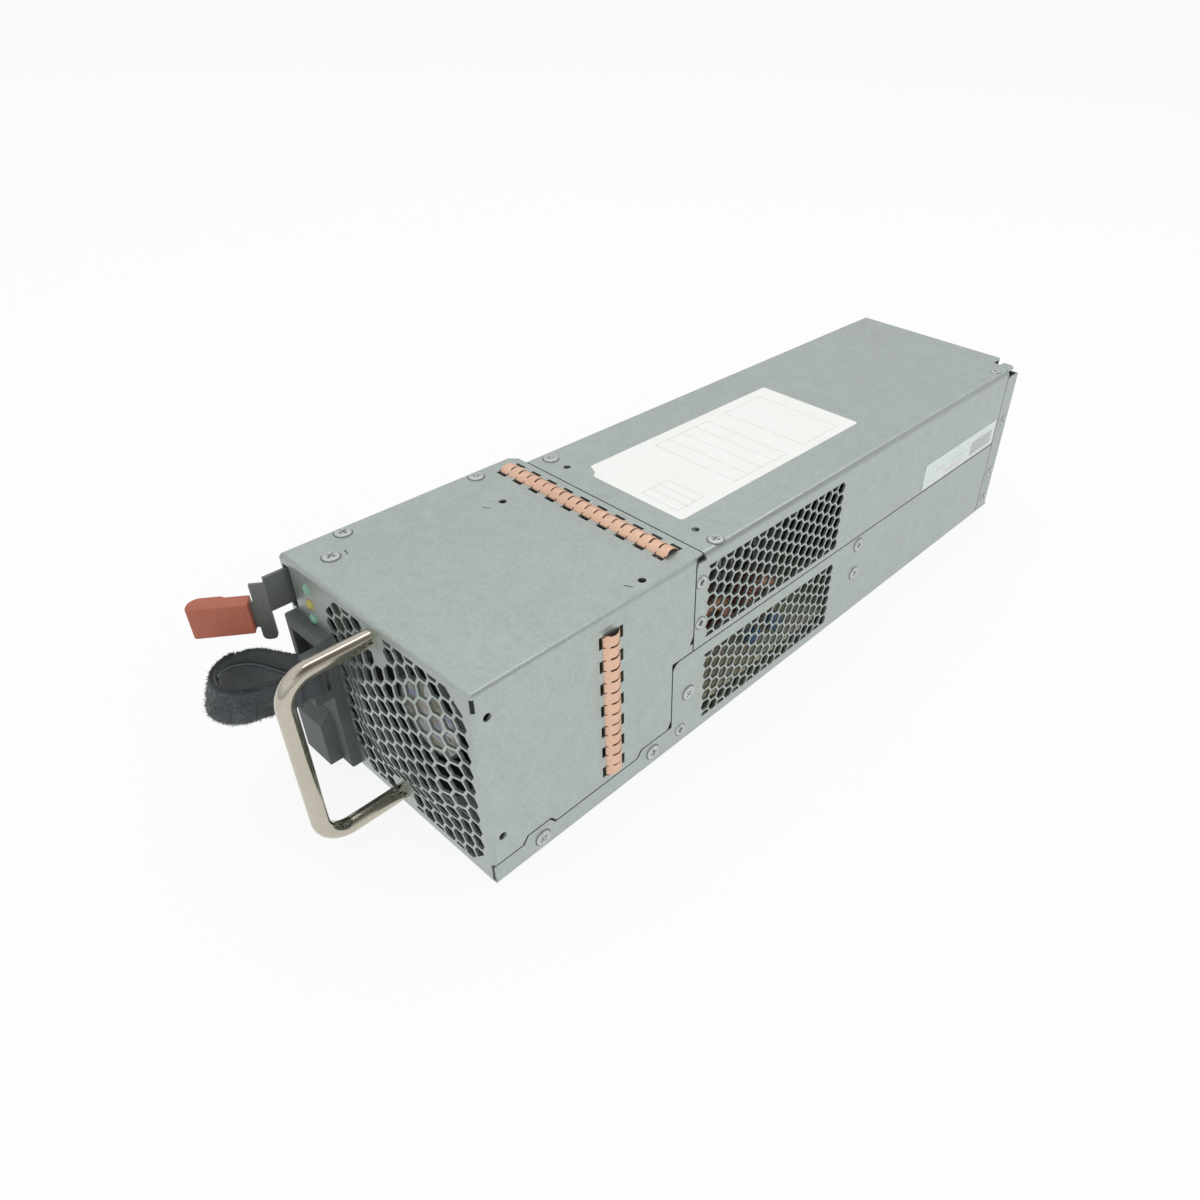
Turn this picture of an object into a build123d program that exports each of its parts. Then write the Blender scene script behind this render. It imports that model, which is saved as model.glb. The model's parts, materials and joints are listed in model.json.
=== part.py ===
from build123d import *
import os
from math import atan2, cos, radians, sin, sqrt

os.makedirs("parts", exist_ok=True)

# The case: +X is the right side, -Y the front, +Z up, and the origin is the middle of the bottom face
case_length = 355.0
case_width = 104.0
case_height = 84.0
sheet = 1.0
fold_radius = 1.6
seam_gap = 0.6
rear_inset = 6.0            # the rear section is this much narrower on its left
right = case_width / 2
left = -case_width / 2
rear_left = left + rear_inset
top_under = case_height - sheet

# Distances behind the front face
cover_side_end = 97.0       # where the front cover's right wall ends
cover_top_end = 102.0       # where the front cover's top ends
jog_depth = 100.0           # where the left wall steps in
tall_wall_start = 86.5      # front edge of the tray's tall side wall
side_end = 342.0            # where the tray's and rear cover's side walls end
rear_notch_start = 346.0    # notch in the top between its rear edge and the riveted tab
rear_tab_end = 350.0
rear_tab_width = 7.5
rear_panel_top = 79.4       # height

# Heights of the tray's right wall
flange_height = 8.0
tab_height = 11.0
tall_wall_height = 42.5
tab_spans = ((15.0, 24.5), (70.0, tall_wall_start))
tab_slant = 2.2
wall_corner = 4.0

# Clearances
slip = 0.05                 # radial, between a pin and its bore
free = 0.3                  # between pieces that only pass each other
hole_room = 0.15            # radial, round fasteners and lenses

# Front panel
lip_height = 3.0
panel_top = case_height - lip_height
panel_return = 8.0
corner_slit = (1.2, 4.0)    # width and length of the relief in the front right corner
pad_center = (10.5, 42.5)
pad_size = (63.0, 61.0)
pad_slope = 12.0
pad_rise = 2.8
pad_corner = 12.0
plateau_corner = 8.0

# Honeycombs
grille_pitch = 6.65
grille_hole = 5.6
grille_columns = 13
grille_rows = 12
grille_center = (10.3, 41.9)
grille_size = (75.2, 77.6)
grille_corner = 8.0
bare_half = (6.4, 6.2)       # half of the bare patch round each end of the handle
vent_pitch = 5.6
vent_hole = 4.75
vent_columns = 18
vent_rows = 6
vent_middle = 147.8         # behind the front face
upper_vent_height = 62.0
lower_vent_height = 20.8

# Copper finger strips
strip_width = 8.2
strip_rise = 2.6
strip_shoulder = 2.0        # height where a strip's flanks run into its crest
strip_crest = 1.9           # half width of the crest
strip_thickness = 0.4
slit_width = 0.6
slit_reach = 0.6            # share of the strip's width that a slit crosses
top_strip_depth = 93.7
top_strip_span = (-46.0, 43.5)
top_slots = 10
side_strip_depth = 55.5
side_strip_span = (11.5, 76.0)
side_slots = 7
recess_depth = 0.2           # shallow pressed recess under the side strip
recess_span = (48.4, 62.6)
recess_z = (9.8, 79.0)
slot_length = 5.0
slot_width = 1.8

# Carrying handle
handle_x = 1.7
handle_top = 78.0
handle_bottom = 8.0
handle_reach = 31.0
wire_radius = 3.0
handle_bend = 10.0
collar_radius = 3.4
collar_length = 1.0
stud_radius = 1.8
stud_length = 5.0
nut_width = 6.6
nut_thickness = 3.0

# Power inlet and its surround
surround_x = (-50.0, -27.0)
surround_z = (1.5, 62.2)
surround_thickness = 4.3
anchor_x = (-50.0, -34.0)
anchor_top = 26.0
anchor_reach = 9.0
anchor_bevel = 5.0
surround_bevel = 0.6
socket_center = (-39.2, 44.5)
socket_size = (16.0, 25.0)
socket_corner = 4.5
socket_depth = 17.0
inlet_wall = 1.4
inlet_length = 26.0
blade_size = (2.0, 4.0)
blade_length = 11.0
blade_offsets = ((2.6, 7.0), (2.6, -7.0), (-2.6, 0.0))

# Strap for the mains lead: a loop round a post on the surround
post_x = -29.0
post_reach = 9.0
post_radius = 2.0
post_arm = 4.0
strap_width = 13.0
strap_bottom = 41.0
strap_thickness = 1.6
strap_room = 0.5
loop_x = -40.5
loop_reach = 24.0
loop_radius = 10.0
strap_lean = (-2.5, -2.3)   # how far the loop's lower edge hangs away from the upper one
strap_flare = 1.2

# Release latch
lever_thickness = 1.2
lever_z = (65.4, 79.2)
lever_front = 8.0           # in front of the front face
pivot_depth = 48.0
pivot_radius = 1.5
knuckle_radius = 2.7
knuckle_z = (62.0, 80.0)
tongue_angle = 36.0
tongue_length = 12.5
tongue_top = 77.0
finger_span = (0.0, 4.9)    # along the tongue
finger_bottom = 53.6
finger_round = 1.9
grip_span = (6.2, 26.0)     # along the tongue
grip_z = (58.3, 70.8)
grip_thickness = 6.0
grip_bump = 0.9
grip_bump_start = 15.0
tooth_depth = (10.0, 19.0)
tooth_z = (68.0, 75.0)
tooth_reach = 1.75
tooth_room = 1.5            # round the tooth, in the left wall's window
latch_slot = 4.1
lug_thickness = 1.6
lug_depth = (44.0, 62.0)
lug_width = 6.0
bracket_back_start = 52.0
stop_depth = (40.5, 44.5)
stop_thickness = 1.2
pin_head_radius = 2.4
pin_head = 0.7
leaf_thickness = 0.4
leaf_z = (67.0, 75.0)
leaf_span = (24.0, 33.0, 43.4)

# Indicators
lens_x = -37.0
lens_heights = (76.6, 70.5, 64.4)
lens_radius = 1.6
lens_length = 6.6
lens_proud = 0.9
lamp_board = (15.0, 19.5, 1.6)
lamp_board_z = 70.5
lamp_plate = 1.0
lamp_flange_end = 17.0

# Fans
fan_size = 60.0
fan_thickness = 25.4
fan_depths = (6.0, 33.0)
fan_bore = 57.5
fan_tip_room = 0.8
fan_hub = 16.5
fan_blades = 7
blade_thickness = 1.3
blade_chord = 17.0
blade_angle = 40.0
hub_front = 3.5
hub_length = 16.0
motor_plate = 3.0
strut_width = 4.0
fan_shaft = 1.5
cage_end = 60.0
cage_wall = 48.0

# Main board and what stands on it
board_x = (-43.5, 49.0)
board_depth = (66.0, 346.0)
board_height = 8.0
board_thickness = 1.6
standoff_radius = 3.0
standoff_inset = 6.0
board_top = board_height + board_thickness

# Output connector
connector_width = 64.0
connector_height = 16.0
connector_x = -2.0
connector_start = 332.0
connector_reach = 7.0
mouth_size = (58.0, 10.6)
mouth_depth = 13.0
contact_count = 11
contact_size = (3.2, 1.2)
contact_room = 2.0

# Fasteners: positions are (x, depth) on the top and (depth, height) on the right side
front_top_screws = ((-38.0, 11.3), (-48.5, 22.3), (-48.5, 80.3))
rear_top_screws = ((48.0, 112.0), (-39.5, 111.0))
front_side_screws = ((20.8, 5.0), (75.8, 5.8), (95.5, 23.5))
rear_side_screws = ((211.0, 38.0), (211.0, 22.5))
screw_head_radius = 3.1
screw_head = 0.8
screw_radius = 1.5
screw_length = 2.0
cover_rivets = ((100.4, 73.0), (100.8, 54.5))
tray_rivets = ((91.5, 6.5),)
panel_rivets = ((349.0, 54.0), (349.0, 23.0), (349.0, 6.5))
top_rivets = ((47.0, 335.5),)
rivet_head_radius = 2.6
rivet_head = 0.5
rivet_radius = 1.7
rivet_bore = 1.1
front_top_holes = ((46.7, 75.2), (-26.5, 75.6))
rear_top_holes = ((38.3, 112.0), (-29.8, 111.0))
side_holes = ((4.9, 73.0), (4.9, 20.0))
relief_notches = ((cover_side_end, 46.6), (tall_wall_start - seam_gap, 11.4))
notch_size = (1.8, 3.6)
round_hole = 1.5
joggle = 6.0                # width of the inner strips that seams are screwed to
seam_strip = 3.6            # half height of the strip behind the long side seam


def y_at(depth):
    """Y of a point this far behind the front face."""
    return depth - case_length / 2


def front_plane(depth):
    """Plane that looks forward; its axes are X and Z."""
    return Plane.XZ.offset(-y_at(depth))


def span(first, last):
    """Rectangle between two opposite corners in the sketch at hand."""
    middle = ((first[0] + last[0]) / 2, (first[1] + last[1]) / 2)
    with Locations(middle):
        Rectangle(abs(last[0] - first[0]), abs(last[1] - first[1]))


def block(x, depth, z, mode=Mode.ADD):
    """Box between two X values, two depths and two heights."""
    middle = (sum(x) / 2, y_at(sum(depth) / 2), sum(z) / 2)
    with Locations(middle):
        Box(abs(x[1] - x[0]), abs(depth[1] - depth[0]), abs(z[1] - z[0]), mode=mode)


def honeycomb(columns, rows, pitch):
    """Cell centres in columns about the origin; every second column has one cell less."""
    column_step = pitch * sqrt(3) / 2
    cells = []
    for column in range(columns):
        count = rows + (column + 1) % 2
        for row in range(count):
            across = (column - (columns - 1) / 2) * column_step
            cells.append((across, (row - (count - 1) / 2) * pitch))
    return cells


def cut_corners(size, corner):
    """Corner points of a rectangle about the origin with its corners cut off."""
    half_width = size[0] / 2
    half_height = size[1] / 2
    return [
        (half_width - corner, half_height),
        (corner - half_width, half_height),
        (-half_width, half_height - corner),
        (-half_width, corner - half_height),
        (corner - half_width, -half_height),
        (half_width - corner, -half_height),
        (half_width, corner - half_height),
        (half_width, half_height - corner),
    ]


def vent_cells(center_height):
    """Cells of a side vent as (Y, Z), with its middle at this height."""
    cells = honeycomb(vent_columns, vent_rows, vent_pitch)
    return [(y_at(vent_middle) + along, center_height + up) for along, up in cells]


def strip_slots(first, last, count):
    """Middles of the slots along a finger strip."""
    pitch = (last - first - slot_length) / (count - 1)
    return [first + slot_length / 2 + pitch * index for index in range(count)]


def on_top(points):
    """Places on the top from (x, depth) pairs."""
    return [(x, y_at(depth)) for x, depth in points]


def on_side(points):
    """Places on the right side from (depth, height) pairs."""
    return [(y_at(depth), height) for depth, height in points]


def tab_outline(tab_span, gap):
    """Corners of a screw tab with slanted sides, grown all round by a gap."""
    start = tab_span[0] - gap
    end = tab_span[1] + gap
    return (
        (y_at(start - tab_slant), flange_height / 2),
        (y_at(start - tab_slant), flange_height + gap),
        (y_at(start), tab_height + gap),
        (y_at(end), tab_height + gap),
        (y_at(end + tab_slant), flange_height + gap),
        (y_at(end + tab_slant), flange_height / 2),
    )


vent_clip = (
    (vent_columns - 1) * vent_pitch * sqrt(3) / 2 + 2 * vent_hole / sqrt(3),
    vent_rows * vent_pitch - (vent_pitch - vent_hole),
)
strip_slot_offset = strip_width / 2 + slot_width / 2 - strip_thickness
fastener_hole = screw_radius + hole_room
rivet_hole = rivet_radius + hole_room

# Base tray: bottom, low front flange with screw tabs, tall right wall with a vent, left wall
with BuildPart() as base_tray:
    block((left, right), (0, jog_depth), (0, sheet))
    block((rear_left, right), (jog_depth, case_length), (0, sheet))
    block((left, left + sheet), (0, jog_depth), (0, top_under))
    block((left, rear_left + sheet), (jog_depth - sheet, jog_depth), (0, top_under))
    block((rear_left, rear_left + sheet), (jog_depth, side_end), (0, tall_wall_height))
    for flange_span in ((sheet, lug_depth[0] - seam_gap), (lug_depth[1] + seam_gap, jog_depth)):
        block((left, left + joggle), flange_span, (top_under - sheet, top_under))
    with BuildSketch(Plane.YZ.offset(right - sheet)) as right_wall:
        span((y_at(sheet / 2), 0), (y_at(tall_wall_start), flange_height))
        for tab_span in tab_spans:
            Polygon(*tab_outline(tab_span, 0), align=None)
        span((y_at(tall_wall_start), 0), (y_at(side_end), tall_wall_height))
        front_corners = right_wall.vertices().group_by(Axis.X)[0].sort_by(Axis.Y)
        fillet(front_corners[-1], wall_corner / 2)
        wall_corners = right_wall.vertices().group_by(Axis.Y)[-1].sort_by(Axis.X)
        fillet(wall_corners[0], wall_corner)
    extrude(amount=sheet)
    with BuildSketch(Plane.YZ.offset(right - sheet)):
        with Locations(*vent_cells(lower_vent_height)):
            RegularPolygon(vent_hole / 2, 6, major_radius=False)
        with Locations((y_at(vent_middle), lower_vent_height)):
            Rectangle(*vent_clip, mode=Mode.INTERSECT)
    extrude(amount=sheet, mode=Mode.SUBTRACT)
    with BuildSketch(Plane.YZ.offset(right - sheet)):
        with Locations(*on_side(front_side_screws + rear_side_screws)):
            Circle(fastener_hole)
        with Locations(*on_side(tray_rivets)):
            Circle(rivet_hole)
    extrude(amount=sheet, mode=Mode.SUBTRACT)
    with BuildSketch(Plane.XY.offset(top_under - sheet)):
        with Locations(*on_top(front_top_screws[1:])):
            Circle(fastener_hole)
    extrude(amount=sheet, mode=Mode.SUBTRACT)
    block(
        (left, left + sheet),
        (tooth_depth[0] - tooth_room, tooth_depth[1] + tooth_room),
        (tooth_z[0] - tooth_room, tooth_z[1] + tooth_room),
        mode=Mode.SUBTRACT,
    )
base_tray.part.label = "base_tray"
export_step(base_tray.part, "parts/base_tray.step")

# Front cover: top with a front lip, right wall, inner strips at its seams, slots for the finger strips
with BuildPart() as front_cover:
    block((left, right), (0, cover_side_end), (panel_top, case_height))
    upper_edges = front_cover.edges().group_by(Axis.Z)[-1]
    corner_edge = front_cover.edges().filter_by(Axis.Z).group_by(Axis.Y)[0].sort_by(Axis.X)[-1]
    fillet([upper_edges.sort_by(Axis.Y)[0], upper_edges.sort_by(Axis.X)[-1], corner_edge], fold_radius)
    block((left, right - sheet), (sheet, cover_side_end), (panel_top, top_under), mode=Mode.SUBTRACT)
    block((left, left + sheet), (0, sheet), (panel_top, top_under), mode=Mode.SUBTRACT)
    block(
        (right - corner_slit[0], right),
        (0, corner_slit[0]),
        (panel_top, panel_top + corner_slit[0]),
        mode=Mode.SUBTRACT,
    )
    with BuildSketch(Plane.XY.offset(top_under)) as rear_edge:
        span((left, y_at(cover_side_end)), (right - sheet - seam_gap, y_at(cover_top_end)))
        chamfer(rear_edge.vertices().group_by(Axis.Y)[-1].sort_by(Axis.X)[0], joggle / 2)
    extrude(amount=sheet)
    with BuildSketch(Plane.YZ.offset(right - sheet)):
        span((y_at(panel_return), tab_height + seam_gap), (y_at(cover_side_end), panel_top))
        span((y_at(panel_return), flange_height + seam_gap), (y_at(tall_wall_start), panel_top))
    extrude(amount=sheet)
    with BuildSketch(Plane.YZ.offset(right - sheet)):
        for tab_span in tab_spans:
            Polygon(*tab_outline(tab_span, seam_gap), align=None)
        span(
            (y_at(tall_wall_start - seam_gap), 0),
            (y_at(cover_side_end), tall_wall_height + seam_gap),
        )
    extrude(amount=sheet, mode=Mode.SUBTRACT)
    block(
        (right - recess_depth, right), recess_span, recess_z, mode=Mode.SUBTRACT
    )
    block(
        (right - 2 * sheet, right - sheet),
        (panel_return + sheet, tall_wall_start + 2 * joggle),
        (sheet, tab_height + joggle),
    )
    block(
        (right - 2 * sheet, right - sheet),
        (tall_wall_start - joggle, tall_wall_start + 2 * joggle),
        (sheet, tall_wall_height + joggle),
    )
    block(
        (rear_left + joggle, right - joggle / 2),
        (cover_top_end - joggle, cover_top_end + 3 * joggle),
        (top_under - sheet, top_under),
    )
    with BuildSketch(Plane.XY.offset(top_under - sheet)):
        for slot_x in strip_slots(*top_strip_span, top_slots):
            for side in (-1, 1):
                with Locations((slot_x, y_at(top_strip_depth) + side * strip_slot_offset)):
                    Rectangle(slot_length, slot_width)
        with Locations(*on_top(front_top_screws + rear_top_screws)):
            Circle(fastener_hole)
        with Locations(*on_top(front_top_holes + rear_top_holes)):
            Circle(round_hole)
    extrude(amount=2 * sheet, mode=Mode.SUBTRACT)
    with BuildSketch(Plane.YZ.offset(right - 2 * sheet)):
        for slot_z in strip_slots(*side_strip_span, side_slots):
            for side in (-1, 1):
                with Locations((y_at(side_strip_depth) + side * strip_slot_offset, slot_z)):
                    Rectangle(slot_width, slot_length)
        with Locations(*on_side(front_side_screws)):
            Circle(fastener_hole)
        with Locations(*on_side(tray_rivets)):
            Circle(rivet_hole)
        for notch_depth, notch_z in relief_notches:
            Polygon(
                (y_at(notch_depth), notch_z),
                (y_at(notch_depth - notch_size[0]), notch_z),
                (y_at(notch_depth), notch_z + notch_size[1]),
                align=None,
            )
    extrude(amount=2 * sheet, mode=Mode.SUBTRACT)
front_cover.part.label = "front_cover"
export_step(front_cover.part, "parts/front_cover.step")

# Front panel: a sheet whose right edge turns the corner, with the grille pressed out over the fan
grille_cells = [
    (grille_center[0] + across, grille_center[1] + up)
    for across, up in honeycomb(grille_columns, grille_rows, grille_pitch)
]
handle_ends = ((handle_x, handle_top), (handle_x, handle_bottom))


def is_bare(cell):
    """The grille leaves a bare patch round each end of the handle."""
    return any(
        abs(cell[0] - end_x) < bare_half[0] and abs(cell[1] - end_z) < bare_half[1]
        for end_x, end_z in handle_ends
    )


with BuildPart() as front_panel:
    with BuildSketch(Plane.XY.offset(flange_height + seam_gap)) as panel_plan:
        span((left + sheet, y_at(0)), (right, y_at(sheet)))
        span((right - sheet, y_at(0)), (right, y_at(panel_return)))
        fillet(panel_plan.vertices().group_by(Axis.Y)[0].sort_by(Axis.X)[-1], fold_radius)
    extrude(amount=panel_top - flange_height - seam_gap)
    block((left + sheet, right - sheet - seam_gap), (0, sheet), (sheet, flange_height + seam_gap))
    for pad_base_depth, pad_mode in ((0, Mode.ADD), (sheet, Mode.SUBTRACT)):
        with BuildSketch(front_plane(pad_base_depth)):
            with Locations(pad_center):
                Polygon(*cut_corners(pad_size, pad_corner), align=None)
        with BuildSketch(front_plane(pad_base_depth - pad_rise)):
            with Locations(pad_center):
                plateau = (pad_size[0] - 2 * pad_slope, pad_size[1] - 2 * pad_slope)
                Polygon(*cut_corners(plateau, plateau_corner), align=None)
        loft(ruled=True, mode=pad_mode)
    with BuildSketch(front_plane(2 * sheet)):
        with Locations(*[cell for cell in grille_cells if not is_bare(cell)]):
            RegularPolygon(grille_hole / 2, 6, major_radius=False)
        with Locations(grille_center):
            Polygon(*cut_corners(grille_size, grille_corner), align=None, mode=Mode.INTERSECT)
    extrude(amount=2 * sheet + 2 * pad_rise, mode=Mode.SUBTRACT)
    with BuildSketch(front_plane(0)):
        with Locations(*[(lens_x, height) for height in lens_heights]):
            Circle(lens_radius + hole_room)
        with Locations(*handle_ends):
            Circle(stud_radius + hole_room)
        with Locations(socket_center):
            Rectangle(
                socket_size[0] + 2 * (inlet_wall + hole_room),
                socket_size[1] + 2 * (inlet_wall + hole_room),
            )
        span(
            (left + sheet, surround_z[1] + sheet),
            (left + sheet + latch_slot, panel_top),
        )
    extrude(amount=-sheet, mode=Mode.SUBTRACT)
    with BuildSketch(Plane.YZ.offset(right - sheet)):
        with Locations(*on_side(side_holes)):
            Circle(round_hole)
    extrude(amount=sheet, mode=Mode.SUBTRACT)
    block(
        (right - corner_slit[0], right),
        (0, corner_slit[0]),
        (panel_top - corner_slit[1], panel_top),
        mode=Mode.SUBTRACT,
    )
front_panel.part.label = "front_panel"
export_step(front_panel.part, "parts/front_panel.step")

# Rear cover: top and upper side walls folded from one sheet, with the upper vent
upper_wall = tall_wall_height + seam_gap
with BuildPart() as rear_cover:
    with BuildSketch(front_plane(cover_top_end + seam_gap)) as hood:
        span((rear_left, upper_wall), (right, case_height))
        fillet(hood.vertices().group_by(Axis.Y)[-1], fold_radius + sheet)
    extrude(amount=-(side_end - cover_top_end - seam_gap))
    with BuildSketch(front_plane(cover_top_end + seam_gap)) as hollow:
        span((rear_left + sheet, upper_wall), (right - sheet, top_under))
        fillet(hollow.vertices().group_by(Axis.Y)[-1], fold_radius)
    extrude(amount=-(side_end - cover_top_end - seam_gap), mode=Mode.SUBTRACT)
    with BuildSketch(Plane.YZ.offset(right - sheet)) as ear:
        span(
            (y_at(cover_side_end + seam_gap), upper_wall),
            (y_at(cover_top_end + seam_gap), case_height - fold_radius - sheet),
        )
        fillet(ear.vertices().group_by(Axis.X)[0].sort_by(Axis.Y)[-1], wall_corner / 2)
    extrude(amount=sheet)
    rear_edge_x = (rear_left + 2 * sheet, right - 2 * joggle)
    block(rear_edge_x, (side_end, case_length), (top_under, case_height))
    block(rear_edge_x, (case_length - sheet, case_length), (rear_panel_top + seam_gap, case_height))
    with BuildSketch(Plane.XY.offset(top_under)) as rear_tab:
        span((rear_edge_x[1], y_at(side_end)), (right - sheet, y_at(rear_notch_start)))
        span((right - rear_tab_width, y_at(side_end)), (right - sheet, y_at(rear_tab_end)))
        chamfer(rear_tab.vertices().group_by(Axis.Y)[-1].sort_by(Axis.X)[-1], 2 * sheet)
    extrude(amount=sheet)
    block(
        (right - 2 * sheet, right - sheet),
        (tall_wall_start + 2 * joggle + seam_gap, side_end),
        (tall_wall_height - seam_strip, tall_wall_height + seam_strip),
    )
    with BuildSketch(Plane.YZ.offset(right - 2 * sheet)):
        with Locations(*vent_cells(upper_vent_height)):
            RegularPolygon(vent_hole / 2, 6, major_radius=False)
        with Locations((y_at(vent_middle), upper_vent_height)):
            Rectangle(*vent_clip, mode=Mode.INTERSECT)
    extrude(amount=2 * sheet, mode=Mode.SUBTRACT)
    with BuildSketch(Plane.YZ.offset(right - 2 * sheet)):
        with Locations(*on_side(rear_side_screws)):
            Circle(fastener_hole)
        with Locations(*on_side(cover_rivets)):
            Circle(rivet_hole)
    extrude(amount=2 * sheet, mode=Mode.SUBTRACT)
    with BuildSketch(Plane.XY.offset(top_under)):
        with Locations(*on_top(rear_top_screws)):
            Circle(fastener_hole)
        with Locations(*on_top(top_rivets)):
            Circle(rivet_hole)
        with Locations(*on_top(rear_top_holes)):
            Circle(round_hole)
    extrude(amount=sheet, mode=Mode.SUBTRACT)
rear_cover.part.label = "rear_cover"
export_step(rear_cover.part, "parts/rear_cover.step")

# Rear panel: end sheet with side flanges, outlet slots and the connector's window
rear_slots = 9
rear_slot_size = (5.0, 30.0)
rear_slot_pitch = 9.0
rear_slot_height = 56.0
connector_z = board_top + connector_height / 2
with BuildPart() as rear_panel:
    with BuildSketch(Plane.XY.offset(sheet)):
        span((rear_left, y_at(case_length - sheet)), (right, y_at(case_length)))
        for flange_x in (rear_left, right - sheet):
            span((flange_x, y_at(side_end + seam_gap)), (flange_x + sheet, y_at(case_length)))
    extrude(amount=rear_panel_top - sheet)
    fold_edges = rear_panel.edges().filter_by(Axis.Z).group_by(Axis.Y)[-1]
    fillet(fold_edges, fold_radius)
    with BuildSketch(front_plane(case_length - sheet)):
        with Locations((connector_x, rear_slot_height)):
            with GridLocations(rear_slot_pitch, 1, rear_slots, 1):
                Rectangle(*rear_slot_size)
        with Locations((connector_x, connector_z)):
            Rectangle(connector_width + 2 * free, connector_height + 2 * free)
    extrude(amount=-sheet, mode=Mode.SUBTRACT)
    with BuildSketch(Plane.YZ.offset(right - sheet)):
        with Locations(*on_side(panel_rivets)):
            Circle(rivet_hole)
    extrude(amount=sheet, mode=Mode.SUBTRACT)
rear_panel.part.label = "rear_panel"
export_step(rear_panel.part, "parts/rear_panel.step")

# Screws: a chamfered pan head and a short shank, one group on the top and right side
with BuildPart() as cover_screws:
    for place_plane, places in (
        (Plane.XY.offset(case_height), on_top(front_top_screws + rear_top_screws)),
        (Plane.YZ.offset(right), on_side(front_side_screws + rear_side_screws)),
    ):
        with BuildSketch(place_plane):
            with Locations(*places):
                Circle(screw_head_radius)
        extrude(amount=screw_head, taper=30)
        with BuildSketch(place_plane):
            with Locations(*places):
                Circle(screw_radius)
        extrude(amount=-screw_length)
cover_screws.part.label = "cover_screws"
export_step(cover_screws.part, "parts/cover_screws.step")

# Hollow rivets of the rear seams
with BuildPart() as hollow_rivets:
    for place_plane, places in (
        (Plane.XY.offset(case_height), on_top(top_rivets)),
        (Plane.YZ.offset(right), on_side(cover_rivets + tray_rivets + panel_rivets)),
    ):
        with BuildSketch(place_plane):
            with Locations(*places):
                Circle(rivet_head_radius)
                Circle(rivet_bore, mode=Mode.SUBTRACT)
        extrude(amount=rivet_head)
        with BuildSketch(place_plane):
            with Locations(*places):
                Circle(rivet_radius)
                Circle(rivet_bore, mode=Mode.SUBTRACT)
        extrude(amount=-screw_length)
hollow_rivets.part.label = "hollow_rivets"
export_step(hollow_rivets.part, "parts/hollow_rivets.step")


def arch(middle, base):
    """Cross-section of a finger strip over a base line, as a closed outline in the sketch at hand."""
    foot = strip_width / 2
    slope = atan2(strip_shoulder, foot - strip_crest)
    inner_foot = foot - strip_thickness / sin(slope)
    inner_crest = strip_crest - strip_thickness * sin(slope)
    inner_shoulder = base + strip_shoulder - strip_thickness * cos(slope)
    shoulder = base + strip_shoulder
    top = base + strip_rise
    with BuildLine() as outline:
        Line((middle - foot, base), (middle - strip_crest, shoulder))
        ThreePointArc((middle - strip_crest, shoulder), (middle, top), (middle + strip_crest, shoulder))
        Line((middle + strip_crest, shoulder), (middle + foot, base))
        Line((middle + foot, base), (middle + inner_foot, base))
        Line((middle + inner_foot, base), (middle + inner_crest, inner_shoulder))
        ThreePointArc(
            (middle + inner_crest, inner_shoulder),
            (middle, top - strip_thickness),
            (middle - inner_crest, inner_shoulder),
        )
        Line((middle - inner_crest, inner_shoulder), (middle - inner_foot, base))
        Line((middle - inner_foot, base), (middle - foot, base))
    make_face(outline.edges())


def finger_slits(first, last, count):
    """Middles of the slits that part a strip into fingers, two fingers to each slot."""
    fingers = 2 * count - 1
    pitch = (last - first) / fingers
    return [first + pitch * index for index in range(1, fingers)]


# Copper finger strip on the top
slit_length = slit_reach * strip_width
with BuildPart() as top_finger_strip:
    with BuildSketch(Plane.YZ.offset(top_strip_span[0])):
        arch(y_at(top_strip_depth), case_height)
    extrude(amount=top_strip_span[1] - top_strip_span[0])
    with BuildSketch(Plane.XY.offset(case_height)):
        for slit_x in finger_slits(*top_strip_span, top_slots):
            with Locations((slit_x, y_at(top_strip_depth) + (strip_width - slit_length) / 2)):
                Rectangle(slit_width, slit_length)
    extrude(amount=strip_rise, mode=Mode.SUBTRACT)
top_finger_strip.part.label = "top_finger_strip"
export_step(top_finger_strip.part, "parts/top_finger_strip.step")

# Copper finger strip on the right side
side_arch_plane = Plane(origin=(0, 0, side_strip_span[0]), x_dir=(0, 1, 0), z_dir=(0, 0, -1))
with BuildPart() as side_finger_strip:
    with BuildSketch(side_arch_plane):
        arch(y_at(side_strip_depth), right - recess_depth)
    extrude(amount=-(side_strip_span[1] - side_strip_span[0]))
    with BuildSketch(Plane.YZ.offset(right)):
        for slit_z in finger_slits(*side_strip_span, side_slots):
            with Locations((y_at(side_strip_depth) + (strip_width - slit_length) / 2, slit_z)):
                Rectangle(slit_length, slit_width)
    extrude(amount=strip_rise, mode=Mode.SUBTRACT)
side_finger_strip.part.label = "side_finger_strip"
export_step(side_finger_strip.part, "parts/side_finger_strip.step")

# Carrying handle: one bent wire with a collar and a stud at each end
with BuildPart() as carry_handle:
    with BuildLine(Plane.YZ.offset(handle_x)):
        FilletPolyline(
            (y_at(0), handle_top),
            (y_at(-handle_reach), handle_top),
            (y_at(-handle_reach), handle_bottom),
            (y_at(0), handle_bottom),
            radius=handle_bend,
        )
    with BuildSketch(front_plane(0)):
        with Locations(handle_ends[0]):
            Circle(wire_radius)
    sweep()
    with BuildSketch(front_plane(0)):
        with Locations(*handle_ends):
            Circle(collar_radius)
    extrude(amount=collar_length)
    with BuildSketch(front_plane(0)):
        with Locations(*handle_ends):
            Circle(stud_radius)
    extrude(amount=-stud_length)
carry_handle.part.label = "carry_handle"
export_step(carry_handle.part, "parts/carry_handle.step")

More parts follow.
